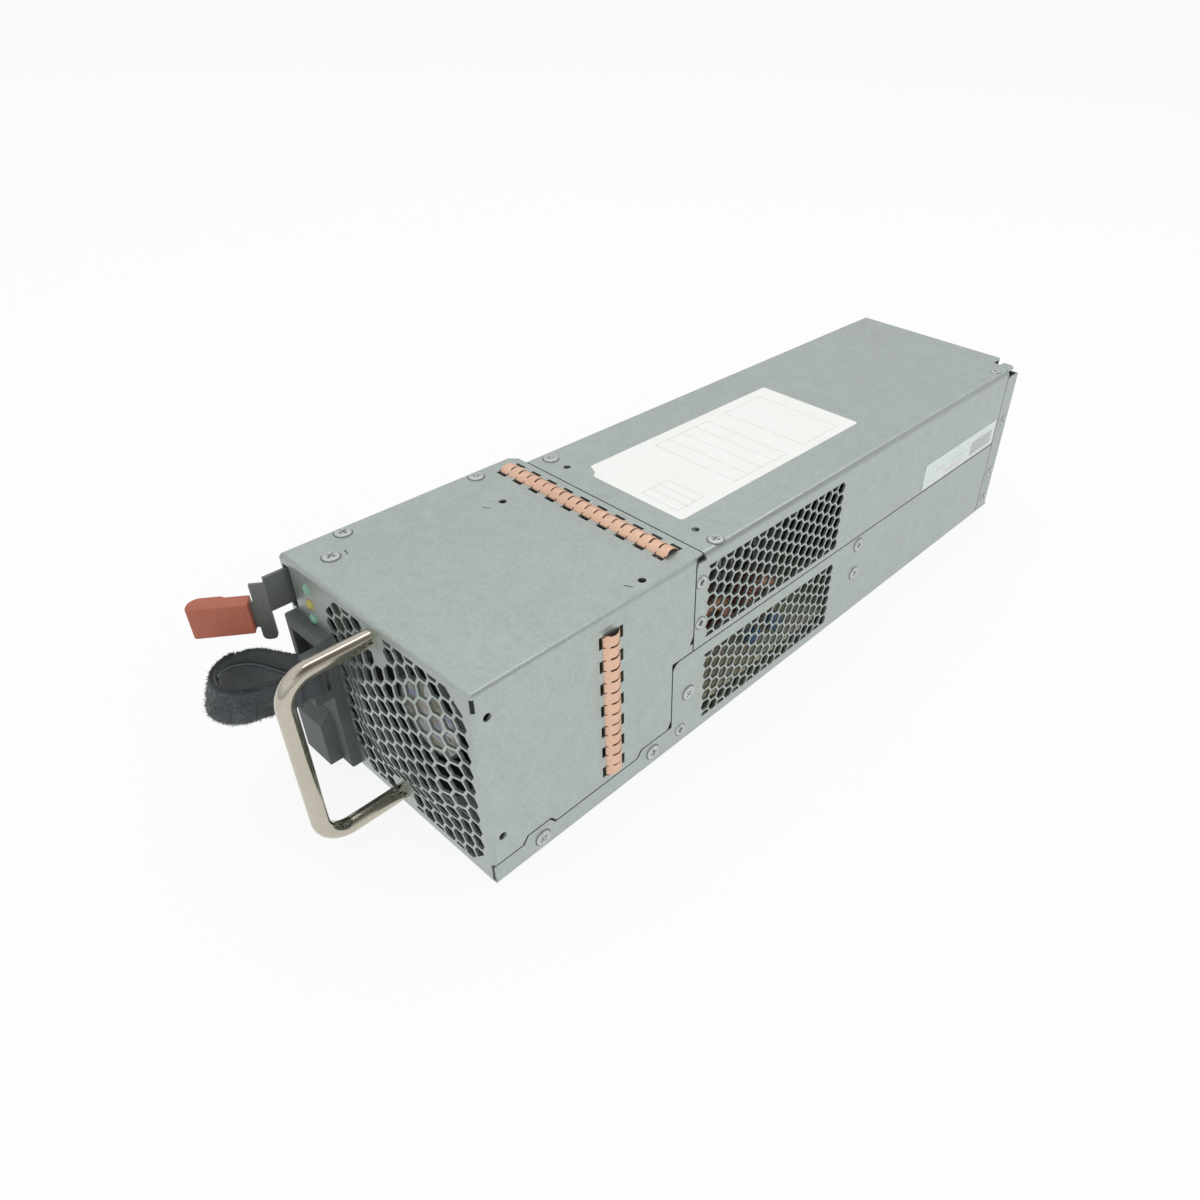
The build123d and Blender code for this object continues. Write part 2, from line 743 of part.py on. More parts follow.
# Nuts on the handle's studs, behind the front panel
with BuildPart() as handle_nuts:
    with BuildSketch(front_plane(sheet)):
        with Locations(*handle_ends):
            RegularPolygon(nut_width / 2, 6, major_radius=False)
            Circle(stud_radius + slip, mode=Mode.SUBTRACT)
    extrude(amount=-nut_thickness)
handle_nuts.part.label = "handle_nuts"
export_step(handle_nuts.part, "parts/handle_nuts.step")

# Inlet surround: moulding with the socket's opening, an anchor block and the strap's post
post_place = (post_x, y_at(-post_reach))
post_z = (strap_bottom - post_arm, strap_bottom + strap_width + post_arm)
with BuildPart() as inlet_surround:
    block(surround_x, (-surround_thickness, 0), surround_z)
    chamfer(inlet_surround.edges().filter_by(Axis.X).group_by(Axis.Y)[0], surround_bevel)
    with BuildSketch(Plane.YZ.offset(anchor_x[0])):
        Polygon(
            (y_at(0), surround_z[0]),
            (y_at(-anchor_reach), surround_z[0]),
            (y_at(-anchor_reach), anchor_top - anchor_bevel),
            (y_at(-anchor_reach / 2), anchor_top),
            (y_at(0), anchor_top),
            align=None,
        )
    extrude(amount=anchor_x[1] - anchor_x[0])
    with BuildSketch(Plane.XY.offset(post_z[0])):
        with Locations(post_place):
            Circle(post_radius)
    extrude(amount=post_z[1] - post_z[0])
    arm_x = (post_x - post_radius, surround_x[1])
    arm_depth = (-post_reach - post_radius, 0)
    block(arm_x, arm_depth, (post_z[0], post_z[0] + post_arm))
    block(arm_x, arm_depth, (post_z[1] - post_arm, post_z[1]))
    with BuildSketch(front_plane(0)):
        with Locations(socket_center):
            Rectangle(*socket_size)
    extrude(amount=surround_thickness, mode=Mode.SUBTRACT)
inlet_surround.part.label = "inlet_surround"
export_step(inlet_surround.part, "parts/inlet_surround.step")

# Power inlet: socket body behind the panel, its recess keyed by two cut corners
with BuildPart() as power_inlet:
    with BuildSketch(front_plane(0)):
        with Locations(socket_center):
            Rectangle(socket_size[0] + 2 * inlet_wall, socket_size[1] + 2 * inlet_wall)
    extrude(amount=-inlet_length)
    with BuildSketch(front_plane(0)) as recess:
        with Locations(socket_center):
            Rectangle(*socket_size)
        chamfer(recess.vertices().group_by(Axis.X)[-1], socket_corner)
    extrude(amount=-socket_depth, mode=Mode.SUBTRACT)
power_inlet.part.label = "power_inlet"
export_step(power_inlet.part, "parts/power_inlet.step")

# The inlet's three blades
with BuildPart() as inlet_contacts:
    with BuildSketch(front_plane(socket_depth)):
        with Locations(socket_center):
            with Locations(*blade_offsets):
                Rectangle(*blade_size)
    extrude(amount=blade_length)
inlet_contacts.part.label = "inlet_contacts"
export_step(inlet_contacts.part, "parts/inlet_contacts.step")

# Strap: a flat band looped round the post, hanging a little outward at its lower edge
loop_place = (loop_x, y_at(-loop_reach))
low_loop_place = (loop_place[0] + strap_lean[0], loop_place[1] + strap_lean[1])
strap_inner = post_radius + strap_room
with BuildPart() as cable_strap:
    for band, band_mode in ((strap_thickness, Mode.ADD), (0, Mode.SUBTRACT)):
        with BuildSketch(Plane.XY.offset(strap_bottom)):
            with Locations(post_place):
                Circle(strap_inner + band)
            with Locations(low_loop_place):
                Circle(loop_radius + strap_flare + band)
            make_hull()
        with BuildSketch(Plane.XY.offset(strap_bottom + strap_width)):
            with Locations(post_place):
                Circle(strap_inner + band)
            with Locations(loop_place):
                Circle(loop_radius + band)
            make_hull()
        loft(ruled=True, mode=band_mode)
cable_strap.part.label = "cable_strap"
export_step(cable_strap.part, "parts/cable_strap.step")

# Latch: lever plate with a knuckle, a tooth for the bay, an outward tongue and a finger before the inlet
lever_outer = left + sheet + free
lever_inner = lever_outer + lever_thickness
lever_middle = lever_outer + lever_thickness / 2
pivot_x = lever_outer + knuckle_radius
tongue_way = (-sin(radians(tongue_angle)), -cos(radians(tongue_angle)), 0)
bend_place = (lever_middle, y_at(-lever_front), 0)
tongue_plane = Plane(origin=bend_place, x_dir=tongue_way, z_dir=(tongue_way[1], -tongue_way[0], 0))
pivot_place = (pivot_x, y_at(pivot_depth))
with BuildPart() as latch_lever:
    block((lever_outer, lever_inner), (-lever_front, pivot_depth), lever_z)
    with BuildSketch(Plane.XY.offset(lever_z[0])):
        with Locations(bend_place[:2]):
            Circle(lever_thickness / 2)
    extrude(amount=tongue_top - lever_z[0])
    with BuildSketch(tongue_plane) as tongue:
        span((0, lever_z[0]), (finger_span[1], tongue_top))
        span((0, grip_z[0] + sheet), (tongue_length, grip_z[1] - sheet))
        span((finger_span[0], finger_bottom), (finger_span[1], lever_z[0]))
        fillet(tongue.vertices().group_by(Axis.Y)[0], finger_round)
    extrude(amount=lever_thickness / 2, both=True)
    with BuildSketch(Plane.XY.offset(tooth_z[0])):
        Polygon(
            (lever_outer, y_at(tooth_depth[0])),
            (left - tooth_reach, y_at(tooth_depth[0])),
            (lever_outer, y_at(tooth_depth[1])),
            align=None,
        )
    extrude(amount=tooth_z[1] - tooth_z[0])
    with BuildSketch(Plane.XY.offset(knuckle_z[0])):
        with Locations(pivot_place):
            Circle(knuckle_radius)
    extrude(amount=knuckle_z[1] - knuckle_z[0])
    with BuildSketch(Plane.XY.offset(knuckle_z[0])):
        with Locations(pivot_place):
            Circle(pivot_radius + slip)
    extrude(amount=knuckle_z[1] - knuckle_z[0], mode=Mode.SUBTRACT)
latch_lever.part.label = "latch_lever"
export_step(latch_lever.part, "parts/latch_lever.step")

# Grip moulded over the tongue, with a thumb step on its outer face
grip_plane = Plane(
    origin=(bend_place[0], bend_place[1], grip_z[0]), x_dir=tongue_way, z_dir=(0, 0, 1)
)
grip_half = grip_thickness / 2
grip_corner = 2.0
with BuildPart() as latch_grip:
    with BuildSketch(grip_plane) as grip_plan:
        span((grip_span[0], -grip_half), (grip_span[1], grip_half))
        span((grip_bump_start, -grip_half - grip_bump), (grip_span[1], 0))
        fillet(grip_plan.vertices().group_by(Axis.X)[-1].sort_by(Axis.Y)[0], 2 * grip_corner)
        fillet(grip_plan.vertices().group_by(Axis.X)[-1].sort_by(Axis.Y)[-1], grip_corner / 2)
    extrude(amount=grip_z[1] - grip_z[0])
    with BuildSketch(tongue_plane):
        span((0, grip_z[0] + sheet), (tongue_length, grip_z[1] - sheet))
    extrude(amount=lever_thickness / 2, both=True, mode=Mode.SUBTRACT)
latch_grip.part.label = "latch_grip"
export_step(latch_grip.part, "parts/latch_grip.step")

# Latch bracket: back plate on the left wall, two lugs for the pin and a stop for the spring
lug_x = (left + sheet, left + sheet + lug_width)
lug_levels = (
    (knuckle_z[0] - seam_gap - lug_thickness, knuckle_z[0] - seam_gap),
    (knuckle_z[1] + seam_gap, knuckle_z[1] + seam_gap + lug_thickness),
)
with BuildPart() as latch_bracket:
    for lug_z in lug_levels:
        block(lug_x, lug_depth, lug_z)
        block((lug_x[1] - stop_thickness, lug_x[1]), (stop_depth[0], lug_depth[0]), lug_z)
    bracket_z = (lug_levels[0][0], lug_levels[1][1])
    block((lug_x[0], lug_x[0] + stop_thickness), (bracket_back_start, lug_depth[1]), bracket_z)
    block((lug_x[1] - stop_thickness, lug_x[1]), stop_depth, bracket_z)
    with BuildSketch(Plane.XY.offset(bracket_z[0])):
        with Locations(pivot_place):
            Circle(pivot_radius + slip)
    extrude(amount=bracket_z[1] - bracket_z[0], mode=Mode.SUBTRACT)
latch_bracket.part.label = "latch_bracket"
export_step(latch_bracket.part, "parts/latch_bracket.step")

# Pivot pin of the latch, headed at both ends
with BuildPart() as latch_pin:
    with BuildSketch(Plane.XY.offset(bracket_z[0])):
        with Locations(pivot_place):
            Circle(pivot_radius)
    extrude(amount=bracket_z[1] - bracket_z[0])
    for head_start in (bracket_z[0] - pin_head, bracket_z[1]):
        with BuildSketch(Plane.XY.offset(head_start)):
            with Locations(pivot_place):
                Circle(pin_head_radius)
        extrude(amount=pin_head)
latch_pin.part.label = "latch_pin"
export_step(latch_pin.part, "parts/latch_pin.step")

# Leaf spring on the lever's inner face; its end bears on the bracket's stop
leaf_tip = lug_x[1] - stop_thickness - free
with BuildPart() as latch_spring:
    with BuildSketch(Plane.XY.offset(leaf_z[0])):
        Polygon(
            (lever_inner, y_at(leaf_span[0])),
            (lever_inner + leaf_thickness, y_at(leaf_span[0])),
            (lever_inner + leaf_thickness, y_at(leaf_span[1])),
            (leaf_tip, y_at(leaf_span[2])),
            (leaf_tip - leaf_thickness, y_at(leaf_span[2])),
            (lever_inner, y_at(leaf_span[1])),
            align=None,
        )
    extrude(amount=leaf_z[1] - leaf_z[0])
latch_spring.part.label = "latch_spring"
export_step(latch_spring.part, "parts/latch_spring.step")


# Indicator lenses: power, fault and input
lens_dome = 0.8
for lens_name, lens_height in zip(("power", "fault", "input"), lens_heights):
    with BuildPart() as indicator_lens:
        with BuildSketch(front_plane(lens_length - lens_proud)):
            with Locations((lens_x, lens_height)):
                Circle(lens_radius)
        extrude(amount=lens_length)
        fillet(indicator_lens.edges().group_by(Axis.Y)[0], lens_dome)
    indicator_lens.part.label = f"indicator_lens_{lens_name}"
    export_step(indicator_lens.part, f"parts/indicator_lens_{lens_name}.step")

# Board of the indicator lamps
lamp_depth = lens_length - lens_proud
lamp_x = (lens_x - lamp_board[0] / 2, lens_x + lamp_board[0] / 2)
lamp_z = (lamp_board_z - lamp_board[1] / 2, lamp_board_z + lamp_board[1] / 2)
with BuildPart() as indicator_board:
    block(lamp_x, (lamp_depth, lamp_depth + lamp_board[2]), lamp_z)
indicator_board.part.label = "indicator_board"
export_step(indicator_board.part, "parts/indicator_board.step")

# Bracket that hangs the indicator board from the front cover's first screw
hanger_depth = lamp_depth + lamp_board[2]
with BuildPart() as indicator_bracket:
    block(lamp_x, (hanger_depth, hanger_depth + lamp_plate), (lamp_z[0], top_under))
    block(lamp_x, (hanger_depth, lamp_flange_end), (top_under - lamp_plate, top_under))
    with BuildSketch(Plane.XY.offset(top_under - lamp_plate)):
        with Locations(*on_top(front_top_screws[:1])):
            Circle(fastener_hole)
    extrude(amount=lamp_plate, mode=Mode.SUBTRACT)
indicator_bracket.part.label = "indicator_bracket"
export_step(indicator_bracket.part, "parts/indicator_bracket.step")

# Fan cage: floor and two walls that hold both fans in line behind the grille
fan_floor = pad_center[1] - fan_size / 2
cage_x = (pad_center[0] - fan_size / 2 - sheet, pad_center[0] + fan_size / 2 + sheet)
cage_wall_top = fan_floor + cage_wall
with BuildPart() as fan_cage:
    block(cage_x, (fan_depths[0], cage_end), (fan_floor - sheet, fan_floor))
    for wall_x in ((cage_x[0], cage_x[0] + sheet), (cage_x[1] - sheet, cage_x[1])):
        block(wall_x, (fan_depths[0], cage_end), (sheet, cage_wall_top))
fan_cage.part.label = "fan_cage"
export_step(fan_cage.part, "parts/fan_cage.step")


# Fans: a square frame with a motor plate on struts, and a rotor on a shaft along Y
motor_start = hub_front + hub_length + 2 * free
blade_middle = hub_front + hub_length / 2
tip_radius = fan_bore / 2 - fan_tip_room
for fan_name, fan_start in zip(("front", "rear"), fan_depths):
    fan_face = front_plane(fan_start)
    motor_face = front_plane(fan_start + motor_start)
    with BuildPart() as fan_frame:
        with BuildSketch(fan_face):
            with Locations(pad_center):
                Rectangle(fan_size, fan_size)
                Circle(fan_bore / 2, mode=Mode.SUBTRACT)
        extrude(amount=-fan_thickness)
        with BuildSketch(motor_face):
            with Locations(pad_center):
                Circle(fan_hub)
                Rectangle(fan_size - 2 * sheet, strut_width)
                Rectangle(strut_width, fan_size - 2 * sheet)
        extrude(amount=-motor_plate)
        with BuildSketch(motor_face):
            with Locations(pad_center):
                Circle(fan_shaft + slip)
        extrude(amount=-motor_plate, mode=Mode.SUBTRACT)
    fan_frame.part.label = f"{fan_name}_fan_frame"
    export_step(fan_frame.part, f"parts/{fan_name}_fan_frame.step")

    with BuildPart() as blade:
        chord = (cos(radians(blade_angle)), sin(radians(blade_angle)), 0)
        with BuildSketch(Plane(origin=(0, 0, fan_hub - sheet), x_dir=chord, z_dir=(0, 0, 1))):
            Rectangle(blade_chord, blade_thickness)
        extrude(amount=tip_radius - fan_hub)
    hub_center = (pad_center[0], y_at(fan_start + blade_middle), pad_center[1])
    with BuildPart() as fan_rotor:
        with BuildSketch(front_plane(fan_start + hub_front)):
            with Locations(pad_center):
                Circle(fan_hub)
        extrude(amount=-hub_length)
        with BuildSketch(front_plane(fan_start + hub_front + hub_length)):
            with Locations(pad_center):
                Circle(fan_shaft)
        extrude(amount=-(motor_plate + 2 * free))
        for blade_index in range(fan_blades):
            turn = Rotation(0, 360 / fan_blades * blade_index, 0)
            add(Pos(*hub_center) * turn * blade.part)
    fan_rotor.part.label = f"{fan_name}_fan_rotor"
    export_step(fan_rotor.part, f"parts/{fan_name}_fan_rotor.step")

# Main board on six standoffs
with BuildPart() as main_board:
    block(board_x, board_depth, (board_height, board_top))
main_board.part.label = "main_board"
export_step(main_board.part, "parts/main_board.step")

board_middle = (sum(board_x) / 2, y_at(sum(board_depth) / 2))
standoff_pitch = (
    board_x[1] - board_x[0] - 2 * standoff_inset,
    (board_depth[1] - board_depth[0] - 2 * standoff_inset) / 2,
)
with BuildPart() as board_standoffs:
    with BuildSketch(Plane.XY.offset(sheet)):
        with Locations(board_middle):
            with GridLocations(*standoff_pitch, 2, 3):
                RegularPolygon(standoff_radius, 6)
    extrude(amount=board_height - sheet)
board_standoffs.part.label = "board_standoffs"
export_step(board_standoffs.part, "parts/board_standoffs.step")

# Wound chokes: a flat ring of windings standing on the board
choke_wall = 8.0
choke_width = 12.0
choke_round = 4.0
choke_places = {
    "pfc_choke": (28.0, 131.5, 15.0),
    "filter_choke": (28.0, 165.0, 12.5),
    "common_mode_choke": (-26.0, 84.0, 15.0),
}
for choke_name, (choke_x, choke_depth, choke_radius) in choke_places.items():
    choke_plane = Plane.YZ.offset(choke_x - choke_width / 2)
    with BuildPart() as choke:
        with BuildSketch(choke_plane):
            with Locations((y_at(choke_depth), board_top + choke_radius)):
                Circle(choke_radius)
                Circle(choke_radius - choke_wall, mode=Mode.SUBTRACT)
        extrude(amount=choke_width)
        chamfer(choke.edges().filter_by(GeomType.CIRCLE).sort_by(SortBy.LENGTH)[-2:], choke_round)
    choke.part.label = choke_name
    export_step(choke.part, f"parts/{choke_name}.step")

# Capacitors standing on the board: bulk cans, output cans, a film block and blue discs
bulk_radius = 15.0
bulk_height = 50.0
bulk_places = ((-26.0, 118.0), (-26.0, 151.0), (-26.0, 184.0))
with BuildPart() as bulk_capacitors:
    with BuildSketch(Plane.XY.offset(board_top)):
        with Locations(*on_top(bulk_places)):
            Circle(bulk_radius)
    extrude(amount=bulk_height)
bulk_capacitors.part.label = "bulk_capacitors"
export_step(bulk_capacitors.part, "parts/bulk_capacitors.step")

output_can_radius = 5.0
output_can_height = 22.0
output_can_middle = (-2.0, 318.0)
output_can_pitch = (12.0, 12.0)
with BuildPart() as output_capacitors:
    with BuildSketch(Plane.XY.offset(board_top)):
        with Locations(*on_top((output_can_middle,))):
            with GridLocations(*output_can_pitch, 5, 2):
                Circle(output_can_radius)
    extrude(amount=output_can_height)
output_capacitors.part.label = "output_capacitors"
export_step(output_capacitors.part, "parts/output_capacitors.step")

film_x = (-2.0, 24.0)
film_depth = (74.0, 92.0)
film_height = 26.0
with BuildPart() as x_capacitor:
    block(film_x, film_depth, (board_top, board_top + film_height))
x_capacitor.part.label = "x_capacitor"
export_step(x_capacitor.part, "parts/x_capacitor.step")

disc_radius = 4.2
disc_thickness = 3.5
disc_x = 38.9
disc_depths = (150.4, 165.4)
with BuildPart() as y_capacitors:
    with BuildSketch(Plane.YZ.offset(disc_x)):
        for disc_depth in disc_depths:
            with Locations((y_at(disc_depth), board_top + disc_radius)):
                Circle(disc_radius)
    extrude(amount=disc_thickness)
y_capacitors.part.label = "y_capacitors"
export_step(y_capacitors.part, "parts/y_capacitors.step")

# Heat sinks: a back plate with fins on one side
sink_plate = 3.0
sink_fin = 1.5
sink_fin_pitch = 8.0
sink_height = 58.0
primary_x = 6.0
primary_depth = (104.0, 196.0)
primary_fin_reach = 12.0
secondary_x = -2.0
secondary_width = 60.0
secondary_depth = 262.0
secondary_fin_reach = 14.0


def sink_fins(first, last):
    """Middles of the fins between two ends of a heat sink."""
    count = int((last - first) // sink_fin_pitch)
    start = (first + last - (count - 1) * sink_fin_pitch) / 2
    return [start + index * sink_fin_pitch for index in range(count)]


with BuildPart() as primary_heatsink:
    with BuildSketch(Plane.XY.offset(board_top)):
        span((primary_x, y_at(primary_depth[0])), (primary_x + sink_plate, y_at(primary_depth[1])))
        for fin_depth in sink_fins(*primary_depth):
            span(
                (primary_x + sink_plate, y_at(fin_depth - sink_fin / 2)),
                (primary_x + sink_plate + primary_fin_reach, y_at(fin_depth + sink_fin / 2)),
            )
    extrude(amount=sink_height)
primary_heatsink.part.label = "primary_heatsink"
export_step(primary_heatsink.part, "parts/primary_heatsink.step")

secondary_ends = (secondary_x - secondary_width / 2, secondary_x + secondary_width / 2)
with BuildPart() as secondary_heatsink:
    with BuildSketch(Plane.XY.offset(board_top)):
        span(
            (secondary_ends[0], y_at(secondary_depth)),
            (secondary_ends[1], y_at(secondary_depth + sink_plate)),
        )
        for fin_x in sink_fins(*secondary_ends):
            span(
                (fin_x - sink_fin / 2, y_at(secondary_depth + sink_plate)),
                (fin_x + sink_fin / 2, y_at(secondary_depth + sink_plate + secondary_fin_reach)),
            )
    extrude(amount=sink_height)
secondary_heatsink.part.label = "secondary_heatsink"
export_step(secondary_heatsink.part, "parts/secondary_heatsink.step")

# Transistors on the plain faces of the two heat sinks, and the bridge rectifier beside them
device_size = (16.0, 5.0, 22.0)
device_lift = 12.0
device_z = (board_top, board_top + device_lift + device_size[2])
primary_devices = (114.0, 134.0, 154.0)
secondary_devices = (-20.0, 0.0, 20.0)
with BuildPart() as power_transistors:
    for device_depth in primary_devices:
        along = (device_depth - device_size[0] / 2, device_depth + device_size[0] / 2)
        block((primary_x - device_size[1], primary_x), along, device_z)
power_transistors.part.label = "power_transistors"
export_step(power_transistors.part, "parts/power_transistors.step")

with BuildPart() as output_rectifiers:
    for device_x in secondary_devices:
        across = (
            secondary_x + device_x - device_size[0] / 2,
            secondary_x + device_x + device_size[0] / 2,
        )
        block(across, (secondary_depth - device_size[1], secondary_depth), device_z)
output_rectifiers.part.label = "output_rectifiers"
export_step(output_rectifiers.part, "parts/output_rectifiers.step")

bridge_width = 24.0
bridge_depth = 181.0
with BuildPart() as bridge_rectifier:
    along = (bridge_depth - bridge_width / 2, bridge_depth + bridge_width / 2)
    block((primary_x - device_size[1], primary_x), along, device_z)
bridge_rectifier.part.label = "bridge_rectifier"
export_step(bridge_rectifier.part, "parts/bridge_rectifier.step")

# Main transformer: a ferrite frame of two E halves round a taped winding
core_size = (46.0, 16.0, 40.0)
core_middle = (-4.0, 228.0)
core_leg = 7.0
winding_radius = 15.5
winding_gap = 0.3
core_window = (core_size[0] - 2 * core_leg, core_size[2] - 2 * core_leg)
core_z = board_top + core_size[2] / 2
core_front = core_middle[1] - core_size[1] / 2
with BuildPart() as transformer_core:
    with BuildSketch(front_plane(core_front)):
        with Locations((core_middle[0], core_z)):
            Rectangle(core_size[0], core_size[2])
            Rectangle(*core_window, mode=Mode.SUBTRACT)
            Rectangle(core_leg, core_size[2])
    extrude(amount=-core_size[1])
transformer_core.part.label = "transformer_core"
export_step(transformer_core.part, "parts/transformer_core.step")

winding_height = core_window[1]
winding_size = (core_window[0] - 2 * winding_gap, core_size[1] + 2 * winding_radius - core_leg)
winding_bore = (core_leg + 2 * winding_gap, core_size[1] + 2 * winding_gap)
with BuildPart() as transformer_winding:
    with BuildSketch(Plane.XY.offset(core_z - winding_height / 2)) as winding_plan:
        with Locations((core_middle[0], y_at(core_middle[1]))):
            Rectangle(*winding_size)
        fillet(winding_plan.vertices(), core_leg)
        with Locations((core_middle[0], y_at(core_middle[1]))):
            Rectangle(*winding_bore, mode=Mode.SUBTRACT)
    extrude(amount=winding_height)
transformer_winding.part.label = "transformer_winding"
export_step(transformer_winding.part, "parts/transformer_winding.step")

# Control board standing along the left side
control_x = -40.0
control_depth = (215.0, 300.0)
control_height = 48.0
with BuildPart() as control_board:
    block(
        (control_x, control_x + board_thickness),
        control_depth,
        (board_top, board_top + control_height),
    )
control_board.part.label = "control_board"
export_step(control_board.part, "parts/control_board.step")

# Output connector: a block on the board with a mouth at the rear
connector_end = case_length + connector_reach
with BuildPart() as output_connector:
    with BuildSketch(front_plane(connector_start)):
        with Locations((connector_x, connector_z)):
            Rectangle(connector_width, connector_height)
    extrude(amount=-(connector_end - connector_start))
    with BuildSketch(front_plane(connector_end)):
        with Locations((connector_x, connector_z)):
            Rectangle(*mouth_size)
    extrude(amount=mouth_depth, mode=Mode.SUBTRACT)
output_connector.part.label = "output_connector"
export_step(output_connector.part, "parts/output_connector.step")

# Contact blades in the mouth, standing on its floor
contact_pitch = mouth_size[0] / contact_count
with BuildPart() as output_contacts:
    with BuildSketch(front_plane(connector_end - mouth_depth)):
        with Locations((connector_x, connector_z)):
            with GridLocations(contact_pitch, 1, contact_count, 1):
                Rectangle(*contact_size)
    extrude(amount=-(mouth_depth - contact_room))
output_contacts.part.label = "output_contacts"
export_step(output_contacts.part, "parts/output_contacts.step")

# Copper bars from the output rectifiers to the connector, one on each side of the output cans
bar_thickness = 2.0
bar_height = 14.0
bar_x = 34.0
bar_start = 285.0
with BuildPart() as output_busbars:
    for bar_side in (-1, 1):
        bar_middle = connector_x + bar_side * bar_x
        block(
            (bar_middle - bar_thickness / 2, bar_middle + bar_thickness / 2),
            (bar_start, board_depth[1]),
            (board_top, board_top + bar_height),
        )
output_busbars.part.label = "output_busbars"
export_step(output_busbars.part, "parts/output_busbars.step")
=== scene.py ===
import json
import math
import random

import bmesh
import bpy
from mathutils import Matrix, Vector


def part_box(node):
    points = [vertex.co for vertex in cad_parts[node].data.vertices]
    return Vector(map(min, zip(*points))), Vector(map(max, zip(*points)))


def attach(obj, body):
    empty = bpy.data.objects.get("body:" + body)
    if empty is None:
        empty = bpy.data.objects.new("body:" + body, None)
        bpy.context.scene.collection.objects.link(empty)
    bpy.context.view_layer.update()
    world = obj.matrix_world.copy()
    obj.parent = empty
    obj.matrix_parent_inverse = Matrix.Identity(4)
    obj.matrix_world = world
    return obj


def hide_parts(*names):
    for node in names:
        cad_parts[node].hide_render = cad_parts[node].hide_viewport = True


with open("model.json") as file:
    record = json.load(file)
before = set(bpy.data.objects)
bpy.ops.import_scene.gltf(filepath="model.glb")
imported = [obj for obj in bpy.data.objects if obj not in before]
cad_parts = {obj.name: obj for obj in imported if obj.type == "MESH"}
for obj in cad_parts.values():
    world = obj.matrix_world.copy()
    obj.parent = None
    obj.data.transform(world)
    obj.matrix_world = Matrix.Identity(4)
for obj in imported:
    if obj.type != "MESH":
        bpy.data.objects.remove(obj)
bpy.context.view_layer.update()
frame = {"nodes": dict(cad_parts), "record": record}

random.seed(7)
scene = bpy.context.scene
scene.view_settings.view_transform = "Standard"

MM = 0.001
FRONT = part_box("base_tray")[0].y
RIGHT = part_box("base_tray")[1].x / MM
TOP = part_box("front_cover")[1].z / MM
nodes = frame["nodes"]


def at(x, depth, z):
    """Point in metres from millimetres: X, distance behind the front face, height."""
    return Vector((x * MM, FRONT + depth * MM, z * MM))


# Materials


def new_node(tree, kind, inputs=None, **settings):
    """Shader node with some of its settings and inputs given."""
    made = tree.nodes.new("ShaderNode" + kind)
    for name, value in settings.items():
        setattr(made, name, value)
    for key, value in (inputs or {}).items():
        made.inputs[key].default_value = value
    return made


class Shader:
    """A node material with object coordinates at hand."""

    def __init__(self, name):
        self.material = bpy.data.materials.new(name)
        self.material.use_nodes = True
        self.tree = self.material.node_tree
        self.bsdf = self.tree.nodes["Principled BSDF"]
        self.coords = self.add("TexCoord").outputs["Object"]

    def add(self, kind, inputs=None, **settings):
        return new_node(self.tree, kind, inputs, **settings)

    def link(self, source, target):
        self.tree.links.new(source, target)

    def stretched(self, scale):
        """Object coordinates scaled per axis."""
        mapping = self.add("Mapping", {"Scale": scale})
        self.link(self.coords, mapping.inputs["Vector"])
        return mapping.outputs["Vector"]

    def noise(self, scale, detail=4.0, rough=0.55, vector=None):
        made = self.add("TexNoise", {"Scale": scale, "Detail": detail, "Roughness": rough})
        self.link(vector or self.coords, made.inputs["Vector"])
        return made.outputs["Fac"]

    def cells(self, scale):
        """A random value for each cell of a Voronoi pattern."""
        made = self.add("TexVoronoi", {"Scale": scale})
        self.link(self.coords, made.inputs["Vector"])
        split = self.add("SeparateColor")
        self.link(made.outputs["Color"], split.inputs["Color"])
        return split.outputs["Red"]

    def wave(self, scale, direction, distortion):
        values = {"Scale": scale, "Distortion": distortion}
        made = self.add("TexWave", values, bands_direction=direction)
        self.link(self.coords, made.inputs["Vector"])
        return made.outputs["Fac"]

    def blend(self, first, second, share):
        """Mix of two values."""
        made = self.add("Mix", {0: share}, data_type="FLOAT")
        self.link(first, made.inputs[2])
        self.link(second, made.inputs[3])
        return made.outputs[0]

    def ramp(self, value, stops):
        """Colours along a value, as (place, colour) pairs."""
        made = self.add("ValToRGB")
        elements = made.color_ramp.elements
        while len(elements) < len(stops):
            elements.new(0.5)
        for element, (place, color) in zip(elements, stops):
            element.position = place
            element.color = (*color, 1.0)
        self.link(value, made.inputs["Fac"])
        return made.outputs["Color"]

    def color(self, value, stops):
        self.link(self.ramp(value, stops), self.bsdf.inputs["Base Color"])

    def rough(self, value, low, high):
        made = self.add("MapRange", {"To Min": low, "To Max": high})
        self.link(value, made.inputs["Value"])
        self.link(made.outputs["Result"], self.bsdf.inputs["Roughness"])

    def bump(self, value, strength, distance):
        made = self.add("Bump", {"Strength": strength, "Distance": distance})
        self.link(value, made.inputs["Height"])
        self.link(made.outputs["Normal"], self.bsdf.inputs["Normal"])

    def set(self, **values):
        for name, value in values.items():
            self.bsdf.inputs[name.replace("_", " ").title()].default_value = value
        return self


zinc_cells = 1100.0
smudge_scale = 150.0
smudge_share = 0.4


def metal(
    name, dark, light, rough, grain=(900.0, 900.0, 900.0), metallic=0.9, spangle=0.0, bump=0.05
):
    """Sheet, wire or cast metal with grain and blotches; spangle adds zinc crystals and smudges."""
    made = Shader(name)
    fine = made.noise(1.0, 5.0, 0.6, made.stretched(grain))
    blotch = made.noise(28.0, 3.0)
    value = made.blend(fine, blotch, 0.5)
    if spangle:
        value = made.blend(value, made.cells(zinc_cells), spangle)
        value = made.blend(value, made.noise(smudge_scale, 4.0, 0.62), smudge_share)
    made.color(value, ((0.28, dark), (0.72, light)))
    made.rough(blotch, *rough)
    made.bump(fine, bump, 0.00008)
    made.set(metallic=metallic)
    return made.material


